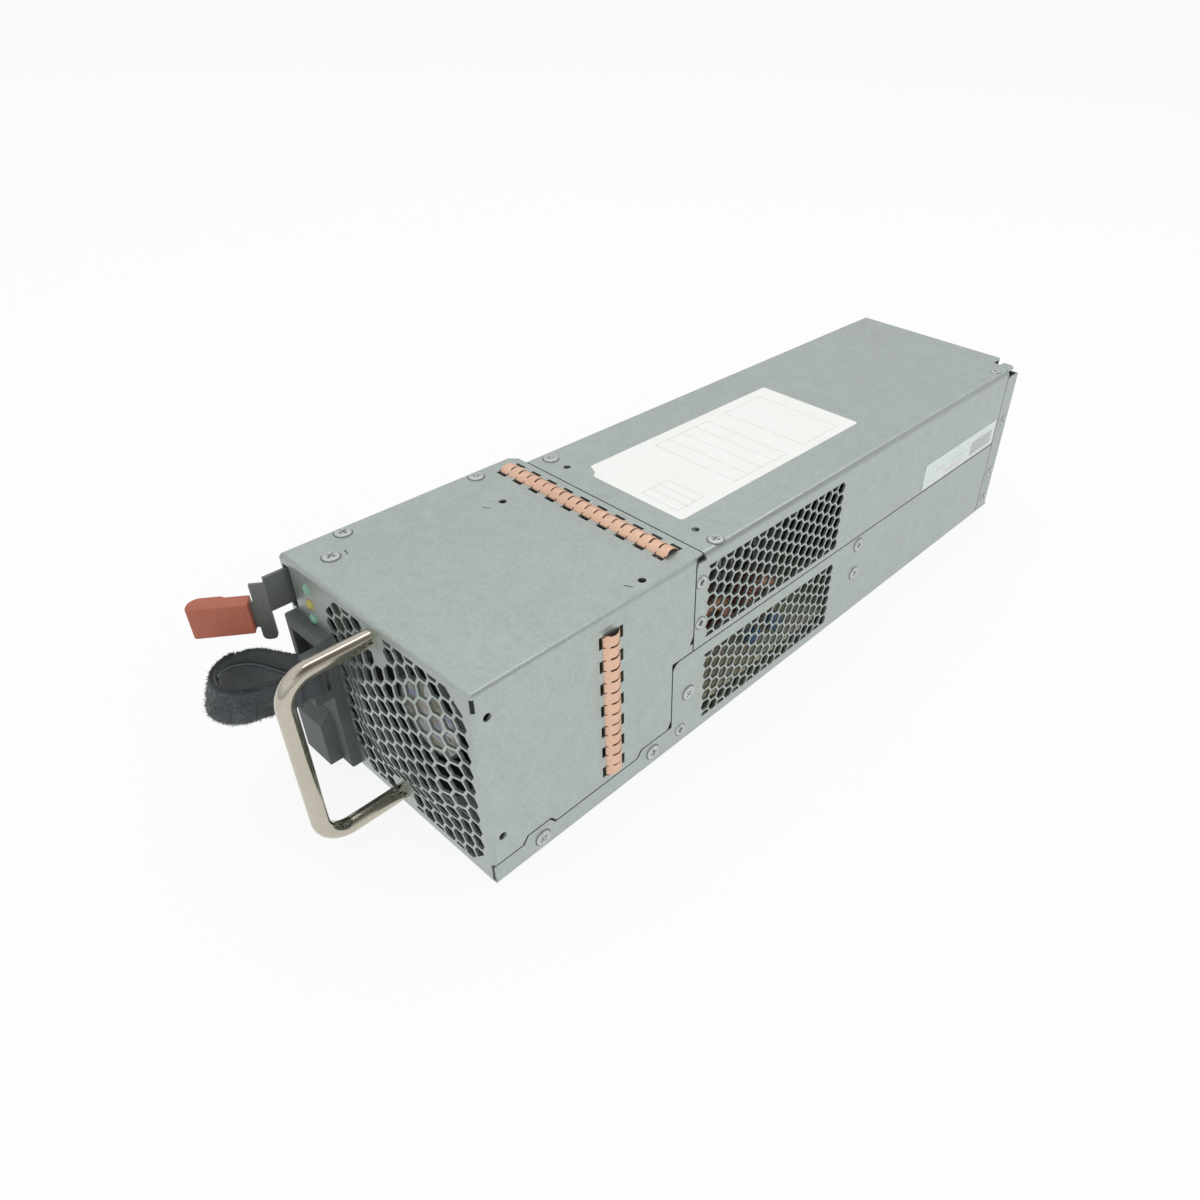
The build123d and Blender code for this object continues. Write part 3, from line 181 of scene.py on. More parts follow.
def plastic(name, dark, light, rough, grain=700.0, bump=0.08, coat=0.0):
    """Moulded plastic with a fine spark-eroded grain."""
    made = Shader(name)
    fine = made.noise(grain, 3.0)
    broad = made.noise(35.0, 3.0)
    made.color(made.blend(fine, broad, 0.6), ((0.3, dark), (0.7, light)))
    made.rough(broad, *rough)
    made.bump(fine, bump, 0.0001)
    made.set(coat_weight=coat)
    return made.material


def cloth(name):
    """Loop pile of a hook-and-loop band: tight speckle with a soft sheen."""
    made = Shader(name)
    pile = made.noise(1500.0, 4.0, 0.7)
    broad = made.noise(120.0, 3.0)
    made.color(
        made.blend(pile, broad, 0.45),
        (
            (0.30, (0.032, 0.038, 0.040)),
            (0.55, (0.074, 0.085, 0.091)),
            (0.75, (0.126, 0.143, 0.150)),
        ),
    )
    made.rough(broad, 0.85, 1.0)
    made.bump(pile, 0.7, 0.0004)
    made.set(sheen_weight=0.25, sheen_roughness=0.5)
    return made.material


def laminate(name):
    """Circuit board: solder mask with faint copper tracks."""
    made = Shader(name)
    tracks = made.wave(160.0, "X", 4.0)
    grain = made.noise(400.0, 3.0)
    made.color(
        made.blend(tracks, grain, 0.4),
        ((0.25, (0.48, 0.46, 0.31)), (0.55, (0.64, 0.61, 0.44)), (0.8, (0.74, 0.71, 0.55))),
    )
    made.rough(grain, 0.35, 0.55)
    made.bump(tracks, 0.15, 0.0001)
    return made.material


def winding(name, dark, light):
    """Enamelled copper wire."""
    made = Shader(name)
    turns = made.noise(500.0, 2.0)
    made.color(turns, ((0.3, dark), (0.7, light)))
    made.rough(turns, 0.25, 0.4)
    made.set(metallic=0.85, coat_weight=0.4)
    return made.material


def lens(name, color):
    """Tinted lamp lens."""
    made = Shader(name)
    depth = made.noise(300.0, 2.0)
    made.color(depth, ((0.3, tuple(0.8 * part for part in color)), (0.7, color)))
    made.rough(depth, 0.12, 0.25)
    made.set(transmission_weight=0.35, coat_weight=0.5)
    return made.material


def paper(name, dark, light, rough=(0.35, 0.5)):
    """Coated label stock with faint handling marks."""
    made = Shader(name)
    marks = made.noise(60.0, 5.0, 0.65)
    made.color(marks, ((0.3, dark), (0.75, light)))
    made.rough(marks, *rough)
    made.bump(made.noise(900.0, 2.0), 0.03, 0.00005)
    return made.material


def mottled(name):
    """Printed foil with patches of several pale tones."""
    made = Shader(name)
    patches = made.cells(240.0)
    made.color(
        made.blend(patches, made.noise(400.0, 3.0), 0.25),
        (
            (0.15, (0.30, 0.27, 0.20)),
            (0.38, (0.54, 0.52, 0.43)),
            (0.55, (0.74, 0.76, 0.74)),
            (0.72, (0.36, 0.41, 0.58)),
            (0.9, (0.88, 0.90, 0.88)),
        ),
    )
    made.rough(patches, 0.3, 0.5)
    return made.material


steel_dark = (0.414, 0.456, 0.429)
steel_light = (0.505, 0.562, 0.538)
materials = {
    "galvanised_sheet": metal(
        "galvanised_sheet", steel_dark, steel_light, (0.40, 0.54), spangle=0.32
    ),
    "fastener_steel": metal(
        "fastener_steel", (0.46, 0.49, 0.48), (0.62, 0.65, 0.63), (0.28, 0.4)
    ),
    "contact_copper": metal(
        "contact_copper", (0.71, 0.445, 0.315), (0.88, 0.60, 0.45), (0.42, 0.54), metallic=0.6
    ),
    "nickel_wire": metal(
        "nickel_wire", (0.46, 0.428, 0.352), (0.59, 0.553, 0.468), (0.10, 0.20), metallic=1.0
    ),
    "latch_plate": metal(
        "latch_plate", (0.132, 0.140, 0.130), (0.20, 0.213, 0.198), (0.42, 0.55), metallic=0.4
    ),
    "grip_plastic": plastic(
        "grip_plastic", (0.40, 0.112, 0.068), (0.48, 0.148, 0.094), (0.5, 0.62)
    ),
    "charcoal_plastic": plastic(
        "charcoal_plastic", (0.076, 0.087, 0.088), (0.129, 0.145, 0.146), (0.55, 0.68)
    ),
    "strap_fabric": cloth("strap_fabric"),
    "green_lens": lens("green_lens", (0.38, 0.78, 0.58)),
    "amber_lens": lens("amber_lens", (0.82, 0.73, 0.13)),
    "board_laminate": laminate("board_laminate"),
    "winding_copper": winding("winding_copper", (0.36, 0.16, 0.11), (0.56, 0.29, 0.21)),
    "can_sleeve": plastic(
        "can_sleeve", (0.015, 0.016, 0.02), (0.03, 0.032, 0.038), (0.2, 0.3), coat=0.4
    ),
    "film_block": plastic("film_block", (0.55, 0.42, 0.06), (0.68, 0.53, 0.10), (0.35, 0.5)),
    "disc_blue": plastic(
        "disc_blue", (0.03, 0.085, 0.21), (0.05, 0.14, 0.32), (0.3, 0.4), coat=0.3
    ),
    "sink_aluminium": metal(
        "sink_aluminium", (0.58, 0.59, 0.60), (0.72, 0.73, 0.74), (0.3, 0.42), (900.0, 900.0, 40.0)
    ),
    "device_black": plastic(
        "device_black", (0.015, 0.015, 0.016), (0.03, 0.03, 0.032), (0.45, 0.6)
    ),
    "ferrite": plastic(
        "ferrite", (0.035, 0.035, 0.036), (0.07, 0.07, 0.072), (0.6, 0.75), bump=0.15
    ),
    "winding_tape": plastic(
        "winding_tape", (0.06, 0.07, 0.065), (0.10, 0.115, 0.105), (0.3, 0.4), coat=0.3
    ),
    "fan_plastic": plastic(
        "fan_plastic", (0.020, 0.021, 0.023), (0.045, 0.046, 0.05), (0.4, 0.55)
    ),
    "contact_gold": metal(
        "contact_gold", (0.62, 0.44, 0.16), (0.80, 0.60, 0.26), (0.2, 0.3), metallic=1.0
    ),
}
label_stock = paper("label_stock", (0.93, 0.945, 0.91), (0.98, 0.99, 0.965))
side_stock = paper("side_stock", (0.62, 0.685, 0.655), (0.70, 0.765, 0.735))
label_grey = paper("label_grey", (0.42, 0.43, 0.43), (0.50, 0.51, 0.51))
label_faint = paper("label_faint", (0.60, 0.61, 0.61), (0.68, 0.69, 0.69))
label_rose = paper("label_rose", (0.66, 0.56, 0.57), (0.74, 0.65, 0.66))
label_mint = paper("label_mint", (0.56, 0.66, 0.60), (0.65, 0.74, 0.68))
hub_sticker = mottled("hub_sticker")
# Lighter thread colour: painted highlight on the strap's upper edges.
edge_thread_highlight = plastic("edge_thread_highlight", (0.18, 0.205, 0.21), (0.30, 0.335, 0.34), (0.7, 0.85))
# Painted shade under the copper strips' slits and in their edge cuts.
painted_slit_shade = plastic("painted_slit_shade", (0.028, 0.016, 0.010), (0.048, 0.028, 0.018), (0.7, 0.85))
# Painted shadow for the rings round screw heads and rivets.
ring_shade = plastic("ring_shade", (0.12, 0.134, 0.127), (0.19, 0.21, 0.20), (0.6, 0.75))
# Painted shade in the gaps between sheets, in the front corner's slit and in the lanced cuts.
painted_shade_black = plastic("painted_shade_black", (0.008, 0.008, 0.009), (0.014, 0.014, 0.015), (0.7, 0.9))
# Lighter copy of the charcoal plastic: painted light, so the shaded inside of the power inlet reads
# lighter.
inlet_painted_light = plastic(
    "inlet_painted_light", (0.16, 0.178, 0.178), (0.23, 0.252, 0.25), (0.55, 0.68)
)

for entry in frame["record"]["subparts"]:
    node = nodes[entry["node"]]
    node.data.materials.clear()
    node.data.materials.append(materials[entry["material_slot"]])
# The power inlet takes the lighter copy: painted light on its shaded inside.
nodes["power_inlet"].data.materials[0] = inlet_painted_light


# Meshes


def piece(name, verts, faces, material, body="case", slot=None, angle=38.0):
    """New mesh object that rides on a body, shaded smooth up to an angle."""
    mesh = bpy.data.meshes.new(name)
    mesh.from_pydata([tuple(point) for point in verts], [], faces)
    shape = bmesh.new()
    shape.from_mesh(mesh)
    bmesh.ops.recalc_face_normals(shape, faces=shape.faces)
    shape.to_mesh(mesh)
    shape.free()
    mesh.materials.append(material)
    for polygon in mesh.polygons:
        polygon.use_smooth = True
    mesh.set_sharp_from_angle(angle=math.radians(angle))
    made = bpy.data.objects.new(name, mesh)
    scene.collection.objects.link(made)
    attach(made, body)
    return made


def joined(parts):
    """One list of points and one of faces from several."""
    verts = []
    faces = []
    for part_verts, part_faces in parts:
        start = len(verts)
        verts += part_verts
        faces += [tuple(index + start for index in face) for face in part_faces]
    return verts, faces


def placed(part, matrix):
    return [matrix @ Vector(point) for point in part[0]], part[1]


def tube(rings, closed_ends=True):
    """Skin over rings of points of equal count."""
    count = len(rings[0])
    verts = [point for ring in rings for point in ring]
    faces = []
    for row in range(len(rings) - 1):
        low = row * count
        high = low + count
        for column in range(count):
            after = (column + 1) % count
            faces.append((low + column, low + after, high + after, high + column))
    if closed_ends:
        faces.append(tuple(reversed(range(count))))
        faces.append(tuple(range((len(rings) - 1) * count, len(rings) * count)))
    return verts, faces


def lathe(profile, segments=40, closed_ends=False):
    """Surface about +Z from (radius, height) pairs in millimetres."""
    rings = []
    for radius, height in profile:
        ring = []
        for index in range(segments):
            turn = 2 * math.pi * index / segments
            ring.append(Vector((radius * math.cos(turn), radius * math.sin(turn), height)) * MM)
        rings.append(ring)
    return tube(rings, closed_ends)


def prism(outline, low, high, place):
    """Solid between two levels over an outline; place turns (a, b, level) into a point."""
    return tube([[place(a, b, low) for a, b in outline], [place(a, b, high) for a, b in outline]])


def rounded(corners, steps=6):
    """Outline from (a, b, radius) corners with their corners rounded."""
    points = []
    count = len(corners)
    for index in range(count):
        here = Vector(corners[index][:2])
        before = Vector(corners[index - 1][:2])
        after = Vector(corners[(index + 1) % count][:2])
        radius = corners[index][2]
        if not radius:
            points.append(tuple(here))
            continue
        back = (before - here).normalized()
        ahead = (after - here).normalized()
        half = back.angle(ahead) / 2
        reach = radius / math.tan(half)
        middle = here + (back + ahead).normalized() * (radius / math.sin(half))
        first = here + back * reach - middle
        last = here + ahead * reach - middle
        start = math.atan2(first.y, first.x)
        swing = math.atan2(last.y, last.x) - start
        swing = (swing + math.pi) % (2 * math.pi) - math.pi
        for step in range(steps + 1):
            turn = start + swing * step / steps
            a = middle.x + radius * math.cos(turn)
            b = middle.y + radius * math.sin(turn)
            points.append((a, b))
    return points


def oblong(left, right, low, high):
    """Corners of a rectangle."""
    return ((left, low), (right, low), (right, high), (left, high))


bevel_angle = 30.0


def soften(made, width, segments):
    """Rounds the edges of a piece or a node by modifiers."""
    weld = made.modifiers.new("weld", "WELD")
    weld.merge_threshold = 0.000002
    bevel = made.modifiers.new("bevel", "BEVEL")
    bevel.width = width * MM
    bevel.segments = segments
    bevel.limit_method = "ANGLE"
    bevel.angle_limit = math.radians(bevel_angle)
    bevel.harden_normals = True


# Screws and rivets

facing_right = Matrix(((0, 0, 1, 0), (1, 0, 0, 0), (0, 1, 0, 0), (0, 0, 0, 1)))
top_screws = ((-38.0, 11.3), (-48.5, 22.3), (-48.5, 80.3), (48.0, 112.0), (-39.5, 111.0))
side_screws = ((20.8, 5.0), (75.8, 5.8), (95.5, 23.5), (211.0, 38.0), (211.0, 22.5))
top_rivets = ((47.0, 335.5),)
side_rivets = (
    (100.4, 73.0),
    (100.8, 54.5),
    (91.5, 6.5),
    (349.0, 54.0),
    (349.0, 23.0),
    (349.0, 6.5),
)
shadow_ring_rise = 0.03


def screw_head():
    """Low pan head with a cross recess, about +Z."""
    radii = (0.0, 0.2, 0.4, 0.6, 0.8, 1.0, 1.2, 1.4, 1.6)
    radii += (1.8, 2.1, 2.4, 2.65, 2.85, 2.98, 3.05, 3.05)
    heights = (0.74,) * 9 + (0.74, 0.73, 0.7, 0.65, 0.56, 0.42, 0.25, 0.0)
    arm = 0.42
    reach = 1.62
    segments = 64
    rings = []
    for radius, height in zip(radii, heights):
        ring = []
        for index in range(segments):
            turn = 2 * math.pi * index / segments
            x = radius * math.cos(turn)
            y = radius * math.sin(turn)
            wide = max(abs(x), abs(y))
            narrow = min(abs(x), abs(y))
            sunk = 0.0
            if narrow < arm and wide < reach:
                sunk = 0.9 * (1 - 0.6 * wide / reach)
            ring.append(Vector((x, y, height - sunk)) * MM)
        rings.append(ring)
    return tube(rings, closed_ends=False)


def on_top(x, depth, turn=0.0):
    return Matrix.Translation(at(x, depth, TOP)) @ Matrix.Rotation(turn, 4, "Z")


def on_side(depth, z, turn=0.0):
    return Matrix.Translation(at(RIGHT, depth, z)) @ facing_right @ Matrix.Rotation(turn, 4, "Z")


def copies(part, top_places, side_places):
    """A part at places on the top and on the right side."""
    made = [placed(part, on_top(*spot)) for spot in top_places]
    return made + [placed(part, on_side(*spot)) for spot in side_places]


def shadow_ring(inner, crest, outer, segments):
    """Ring of painted shadow on the sheet round a fastener."""
    profile = ((inner, 0.0), (inner, shadow_ring_rise), (crest, shadow_ring_rise), (outer, 0.0), (inner, 0.0))
    return lathe(profile, segments)


head = screw_head()
widest_turn = 1.5
heads = [placed(head, on_top(*spot, random.uniform(0, widest_turn))) for spot in top_screws]
heads += [placed(head, on_side(*spot, random.uniform(0, widest_turn))) for spot in side_screws]
heads += copies(lathe(((1.45, 0.0), (1.45, -2.0)), 24, True), top_screws, side_screws)
# Rings of painted shadow round the screws and rivets.
shadow_rings = copies(shadow_ring(2.9, 3.43, 3.48, 48), top_screws, side_screws)
shadow_rings += copies(shadow_ring(2.45, 2.86, 2.9, 40), top_rivets, side_rivets)
piece("fastener_shadow_rings", *joined(shadow_rings), ring_shade, slot="galvanised_sheet")
fastener_steel = materials["fastener_steel"]
screw_piece = piece("cross_head_screws", *joined(heads), fastener_steel, slot="fastener_steel")
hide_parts("cover_screws")

rivet_profile = (
    (1.2, -2.0),
    (1.2, 0.3),
    (1.33, 0.48),
    (1.58, 0.56),
    (1.9, 0.55),
    (2.25, 0.45),
    (2.5, 0.25),
    (2.58, 0.0),
)
rivets = copies(lathe(rivet_profile, 40), top_rivets, side_rivets)
rivet_piece = piece("rolled_rivets", *joined(rivets), fastener_steel, slot="fastener_steel")
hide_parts("hollow_rivets")

# Copper finger strips: arched leaves parted by slits, with a ribbon of painted shade under each
# slit

top_strip_depth = 93.7
top_strip_span = (-46.0, 43.5)
top_fingers = 19
side_strip_depth = 55.5
side_strip_span = (11.5, 76.0)
side_fingers = 13
recess_depth = 0.2
recess_span = (48.4, 62.6)
recess_height = (9.8, 79.0)
recess_slope = 1.1
strip_half = 4.1
strip_rise = 2.3
strip_inset = 0.35
slit_start = 0.22
slit_taper = 0.05
slit_gap = 0.8
slit_levels = (-0.42, -0.52)
leaf_thickness = 0.25
leaf_crown = 0.16
slot_length = 5.0
tick_half = 0.22
tick_step = 0.016
tick_levels = (0.03, -0.1)
tick_inset = 0.3
crease = 0.62
crease_depth = 0.2
leaf_shares = [index / 24 for index in range(15)]
leaf_shares += [crease - 0.02, crease, crease + 0.02]
leaf_shares += [index / 24 for index in range(16, 25)]


def slab(outer, inner):
    """Closed shell between two grids of points of the same size."""
    rows, columns = len(outer), len(outer[0])
    verts = [point for grid in (outer, inner) for row in grid for point in row]
    half = rows * columns
    faces = []
    for r in range(rows - 1):
        for c in range(columns - 1):
            here = r * columns + c
            quad = (here, here + 1, here + columns + 1, here + columns)
            faces += [quad, tuple(half + index for index in reversed(quad))]
    rim = list(range(columns))
    rim += [r * columns + columns - 1 for r in range(1, rows)]
    rim += [(rows - 1) * columns + c for c in range(columns - 2, -1, -1)]
    rim += [r * columns for r in range(rows - 2, 0, -1)]
    for index, here in enumerate(rim):
        after = rim[(index + 1) % len(rim)]
        faces.append((after, here, half + here, half + after))
    return verts, faces


def arch(share):
    """Offset from a strip's middle line and height, at a share of its width."""
    height = strip_rise * math.sin(math.pi * share) ** 0.9 if 0 < share < 1 else 0.0
    return strip_inset - strip_half + (2 * strip_half - strip_inset) * share, height


def leaf(start, end, place):
    """One finger of a strip: whole along the front edge, narrower and crowned behind."""
    lift = random.uniform(-0.12, 0.08)
    lean = random.uniform(-0.08, 0.08)
    outer = []
    inner = []
    for share in leaf_shares:
        free = min(max((share - slit_start) / slit_taper, 0.0), 1.0)
        offset, height = arch(share)
        if share == crease:
            height -= crease_depth
        half = (end - start) / 2 - free * slit_gap / 2
        tops = []
        backs = []
        for column in range(9):
            t = column / 4 - 1
            bow = lift + lean * t - leaf_crown * t * t
            level = height + free * min(height, 1.0) * bow
            along = (start + end) / 2 + half * t
            tops.append(place(along, offset, level))
            backs.append(place(along, offset, level - leaf_thickness))
        outer.append(tops)
        inner.append(backs)
    return slab(outer, inner)


def ribbon(along, half, shares, levels, place):
    """Narrow ribbon of painted shade that follows the arch between two levels."""
    outer = []
    inner = []
    for share in shares:
        offset, height = arch(share)
        edges = (along - half, along + half)
        outer.append([place(edge, offset, height + levels[0]) for edge in edges])
        inner.append([place(edge, offset, height + levels[1]) for edge in edges])
    return slab(outer, inner)


def slit_shade_ribbon(along, place):
    """Ribbon of painted shade under one slit."""
    shares = [slit_start - 0.02 + (0.98 - slit_start) * row / 16 for row in range(17)]
    return ribbon(along, slit_gap, shares, slit_levels, place)


def edge_cut_shade(along, place):
    """Short ribbon of painted shade in a strip's front edge, where a slot ends beside it; it stands
    for a cut.
    """
    return ribbon(along, tick_half, [tick_step * row for row in range(6)], tick_levels, place)


def finger_strip(name, node, first, last, fingers, place):
    """Fingers of one strip, with painted shade under the slits and for the edge cuts; its slots are
    two fingers apart.
    """
    pitch = (last - first) / fingers
    leaves = []
    for index in range(fingers):
        leaves.append(leaf(first + pitch * index, first + pitch * (index + 1), place))
    copper = materials["contact_copper"]
    made = piece(name, *joined(leaves), copper, slot="contact_copper", angle=50.0)
    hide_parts(node)
    # Ribbons of painted shade under the slits and in the edge cuts at the slot ends.
    backs = [slit_shade_ribbon(first + pitch * index, place) for index in range(1, fingers)]
    slots = (fingers + 1) // 2
    slot_pitch = (last - first - slot_length) / (slots - 1)
    for index in range(slots):
        start = first + slot_pitch * index
        for tick in (start + tick_inset, start + slot_length - tick_inset):
            backs.append(edge_cut_shade(tick, place))
    # These backs are painted shade, not parts of the strip.
    piece(f"{name}_backs", *joined(backs), painted_slit_shade, slot="contact_copper")


def over_top(along, offset, up):
    """Point on the top strip."""
    return at(along, top_strip_depth + offset, TOP + up)


def over_side(along, offset, up):
    """Point on the side strip."""
    return at(RIGHT - recess_depth + up, side_strip_depth + offset, along)


finger_strip("top_finger_leaves", "top_finger_strip", *top_strip_span, top_fingers, over_top)
finger_strip("side_finger_leaves", "side_finger_strip", *side_strip_span, side_fingers, over_side)


def recess_loop(inset, radius, level):
    """Ring of points round the pressed recess of the side strip."""
    near, far = recess_span
    low, high = recess_height
    corners = oblong(near + inset, far - inset, low + inset, high - inset)
    outline = rounded([(*corner, radius) for corner in corners])
    return [at(RIGHT - level, depth, z) for depth, z in outline]


slope_rings = [
    recess_loop(0.0, 0.05, 0.0),
    recess_loop(recess_slope, 1.2, recess_depth),
    recess_loop(0.0, 0.05, recess_depth),
    recess_loop(0.0, 0.05, 0.0),
]
piece(
    "recess_slopes",
    *tube(slope_rings, closed_ends=False),
    materials["galvanised_sheet"],
    slot="galvanised_sheet",
)

# Carrying handle: a bent wire with a shoulder and a stud at each end

handle_x = 1.7
handle_ends = (78.0, 8.0)
handle_reach = 31.0
handle_bend = 10.0
wire = 3.0
wire_segments = 40


def handle_line():
    """Centre line as (depth, z, direction angle) steps."""
    line = []
    high, low = handle_ends
    turn_depth = handle_bend - handle_reach
    for step in range(13):
        line.append((turn_depth * step / 12, high, math.pi))
    for step in range(1, 25):
        turn = math.pi / 2 * step / 24
        line.append(
            (
                turn_depth - handle_bend * math.sin(turn),
                high - handle_bend * (1 - math.cos(turn)),
                math.pi + turn,
            )
        )
    for step in range(1, 21):
        drop = (high - low - 2 * handle_bend) * step / 20
        line.append((-handle_reach, high - handle_bend - drop, 1.5 * math.pi))
    for step in range(1, 25):
        turn = math.pi / 2 * step / 24
        line.append(
            (
                -handle_reach + handle_bend * (1 - math.cos(turn)),
                low + handle_bend - handle_bend * math.sin(turn),
                1.5 * math.pi + turn,
            )
        )
    for step in range(1, 13):
        line.append((turn_depth * (12 - step) / 12, low, 2 * math.pi))
    return line


rings = []
for depth, z, heading in handle_line():
    ring = []
    for index in range(wire_segments):
        turn = 2 * math.pi * index / wire_segments
        side = wire * math.sin(turn)
        ring.append(
            at(
                handle_x + wire * math.cos(turn),
                depth - side * math.sin(heading),
                z + side * math.cos(heading),
            )
        )
    rings.append(ring)
handle_parts = [tube(rings)]
facing_front = Matrix(((1, 0, 0, 0), (0, 0, -1, 0), (0, 1, 0, 0), (0, 0, 0, 1)))
stud = lathe(((0.5, 0.9), (2.9, 0.9), (2.9, 0.0), (1.8, 0.0), (1.8, -5.0)), 48, True)
for z in handle_ends:
    handle_parts.append(placed(stud, Matrix.Translation(at(handle_x, 0, z)) @ facing_front))
nickel_wire = materials["nickel_wire"]
handle_piece = piece("bent_wire_handle", *joined(handle_parts), nickel_wire, slot="nickel_wire")
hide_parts("carry_handle")

# Indicator lenses: domed light pipes with a small flange on the panel

dome = lathe(
    (
        (0.1, 1.12),
        (0.5, 1.1),
        (1.0, 1.02),
        (1.4, 0.86),
        (1.65, 0.62),
        (1.75, 0.3),
        (2.0, 0.22),
        (2.05, 0.0),
        (1.55, 0.0),
        (1.55, -5.5),
    ),
    40,
    True,
)
lens_x = -37.0
lenses = (
    ("power", 76.6, "green_lens"),
    ("fault", 70.5, "amber_lens"),
    ("input", 64.4, "green_lens"),
)
for name, z, slot in lenses:
    spot = Matrix.Translation(at(lens_x, 0, z)) @ facing_front
    lens_piece = piece(f"domed_lens_{name}", *placed(dome, spot), materials[slot], slot=slot)
    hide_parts(f"indicator_lens_{name}")

# Latch grip: moulded over the tongue, with a thumb step on its outer face

tongue_turn = math.radians(36.0)
grip_way = Vector((-math.sin(tongue_turn), -math.cos(tongue_turn)))
grip_side = Vector((-grip_way.y, grip_way.x))
grip_root = (-50.1, -8.0)
grip_levels = (58.3, 70.8)
grip_round = 0.9


def on_grip(along, across, z):
    flat = grip_way * along + grip_side * across
    return at(grip_root[0] + flat.x, grip_root[1] + flat.y, z)


grip_outline = rounded(
    (
        (6.2, 3.0, 0.5),
        (6.2, -3.0, 0.5),
        (14.4, -3.0, 1.0),
        (15.4, -3.9, 1.0),
        (26.0, -3.9, 4.2),
        (26.0, 3.0, 1.4),
    )
)
grip_piece = piece(
    "moulded_grip",
    *prism(grip_outline, *grip_levels, on_grip),
    materials["grip_plastic"],
    "latch",
    "grip_plastic",
)
soften(grip_piece, grip_round, 4)
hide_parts("latch_grip")

# Strap: a hook-and-loop band round the post, with a free end lapped on its near side

post = Vector((-29.0, -9.0))
loop_high = (Vector((-40.5, -24.0)), 10.8)
loop_low = (Vector((-43.0, -26.3)), 12.0)
post_radius = 3.3
strap_levels = (41.0, 54.0)
strap_thickness = 1.0
strap_rows = 15
hem_lift = 0.9
hem_rise = 3.4
hem_peak = 38
hem_spread = 13
lap_out = 1.15
lap_span = slice(24, 112)
turn_out = -1.2
turn_span = range(-12, 52)
# Start and rise of the inner turn's upper and lower edges
turn_crest = (45.0, 8.3)
turn_hem = (30.0, 16.0)
edging_radius = 0.2
edging_span = slice(44, 116)
fibre_length = (0.4, 1.25)
fibre_half = (0.08, 0.2)
fibre_sink = 0.1
nap_length = (0.4, 1.2)
nap_half = (0.08, 0.15)
nap_foot = 0.4
nap_stand = 0.6
loop_middle = at(*loop_high[0], 0.0)


def belt(loop, loop_radius, extra):
    """Points of a band round the post and the loop's circle, both grown by extra."""
    near = post_radius + extra
    far = loop_radius + extra
    way = post - loop
    heading = math.atan2(way.y, way.x)
    spread = math.acos((far - near) / way.length)
    points = []
    for step in range(97):
        turn = heading + spread + (2 * math.pi - 2 * spread) * step / 96
        points.append(loop + Vector((math.cos(turn), math.sin(turn))) * far)
    first = points[-1]
    last = post + Vector((math.cos(heading - spread), math.sin(heading - spread))) * near
    for step in range(1, 20):
        points.append(first.lerp(last, step / 20))
    for step in range(17):
        turn = heading - spread + 2 * spread * step / 16
        points.append(post + Vector((math.cos(turn), math.sin(turn))) * near)
    first = points[-1]
    for step in range(1, 20):
        points.append(first.lerp(points[0], step / 20))
    return points


def between_belts(low, high, z):
    """Point at a height between matching points of the band's lower and upper belts."""
    floor_level, top_level = strap_levels
    return at(*low.lerp(high, (z - floor_level) / (top_level - floor_level)), z)


def band_rows(extra):
    """Rows of points from the lower edge, raised at the loop's far end, to the upper edge."""
    low = belt(*loop_low, extra)
    high = belt(*loop_high, extra)
    floor_level, top_level = strap_levels
    grid = []
    for row in range(strap_rows):
        line = []
        for index, (a, b) in enumerate(zip(low, high)):
            swell = hem_rise * math.exp(-(((index - hem_peak) / hem_spread) ** 2))
            edge = floor_level + hem_lift + swell
            z = edge + (top_level - edge) * row / (strap_rows - 1)
            line.append(between_belts(a, b, z))
        grid.append(line)
    return grid


def inner_rows():
    """Rows of points of the end that is coiled once more inside the loop, a little lower."""
    low = belt(*loop_low, turn_out)
    high = belt(*loop_high, turn_out)
    last = len(turn_span) - 1
    grid = []
    for row in range(strap_rows):
        line = []
        for step, index in enumerate(turn_span):
            crest = turn_crest[0] + turn_crest[1] * step / last
            hem = turn_hem[0] + turn_hem[1] * (step / last) ** 2
            z = hem + (crest - hem) * row / (strap_rows - 1)
            line.append(between_belts(low[index], high[index], z))
        grid.append(line)
    return grid


def open_skin(grid):
    """Points and quads of an open sheet over rows of points."""
    columns = len(grid[0])
    faces = []
    for r in range(len(grid) - 1):
        for c in range(columns - 1):
            here = r * columns + c
            faces.append((here, here + 1, here + columns + 1, here + columns))
    return [point for row in grid for point in row], faces


def band_piece(name, skin):
    """One length of the strap, with its thickness."""
    made = piece(name, *skin, materials["strap_fabric"], slot="strap_fabric")
    thick = made.modifiers.new("thickness", "SOLIDIFY")
    thick.thickness = strap_thickness * MM
    thick.offset = 0.0
    return made


strap_grid = band_rows(0.0)
strap_piece = band_piece("loop_strap", tube(strap_grid, closed_ends=False))
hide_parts("cable_strap")

lap_grid = [row[lap_span] for row in band_rows(lap_out)]
lap_piece = band_piece("strap_free_end", open_skin(lap_grid))

turn_grid = inner_rows()
turn_piece = band_piece("strap_inner_turn", open_skin(turn_grid))


def cording(points, radius):
    """Thin woven edge that follows points."""
    rings = []
    for index, point in enumerate(points):
        ahead = points[min(index + 1, len(points) - 1)] - points[max(index - 1, 0)]
        side = ahead.cross(Vector((0, 0, 1))).normalized()
        up = side.cross(ahead).normalized()
        ring = []
        for step in range(8):
            turn = math.pi * step / 4
            ring.append(point + (side * math.cos(turn) + up * math.sin(turn)) * radius * MM)
        rings.append(ring)
    return tube(rings)


# Woven cord along the upper edges of the band and of the inner turn, in a lighter colour that is a
# painted highlight where the edges catch the light.
edged_rows = (strap_grid[-1][edging_span], turn_grid[-1])
edging = piece(
    "strap_edging_highlight",
    *joined([cording(row, edging_radius) for row in edged_rows]),
    edge_thread_highlight,
    slot="strap_fabric",
)


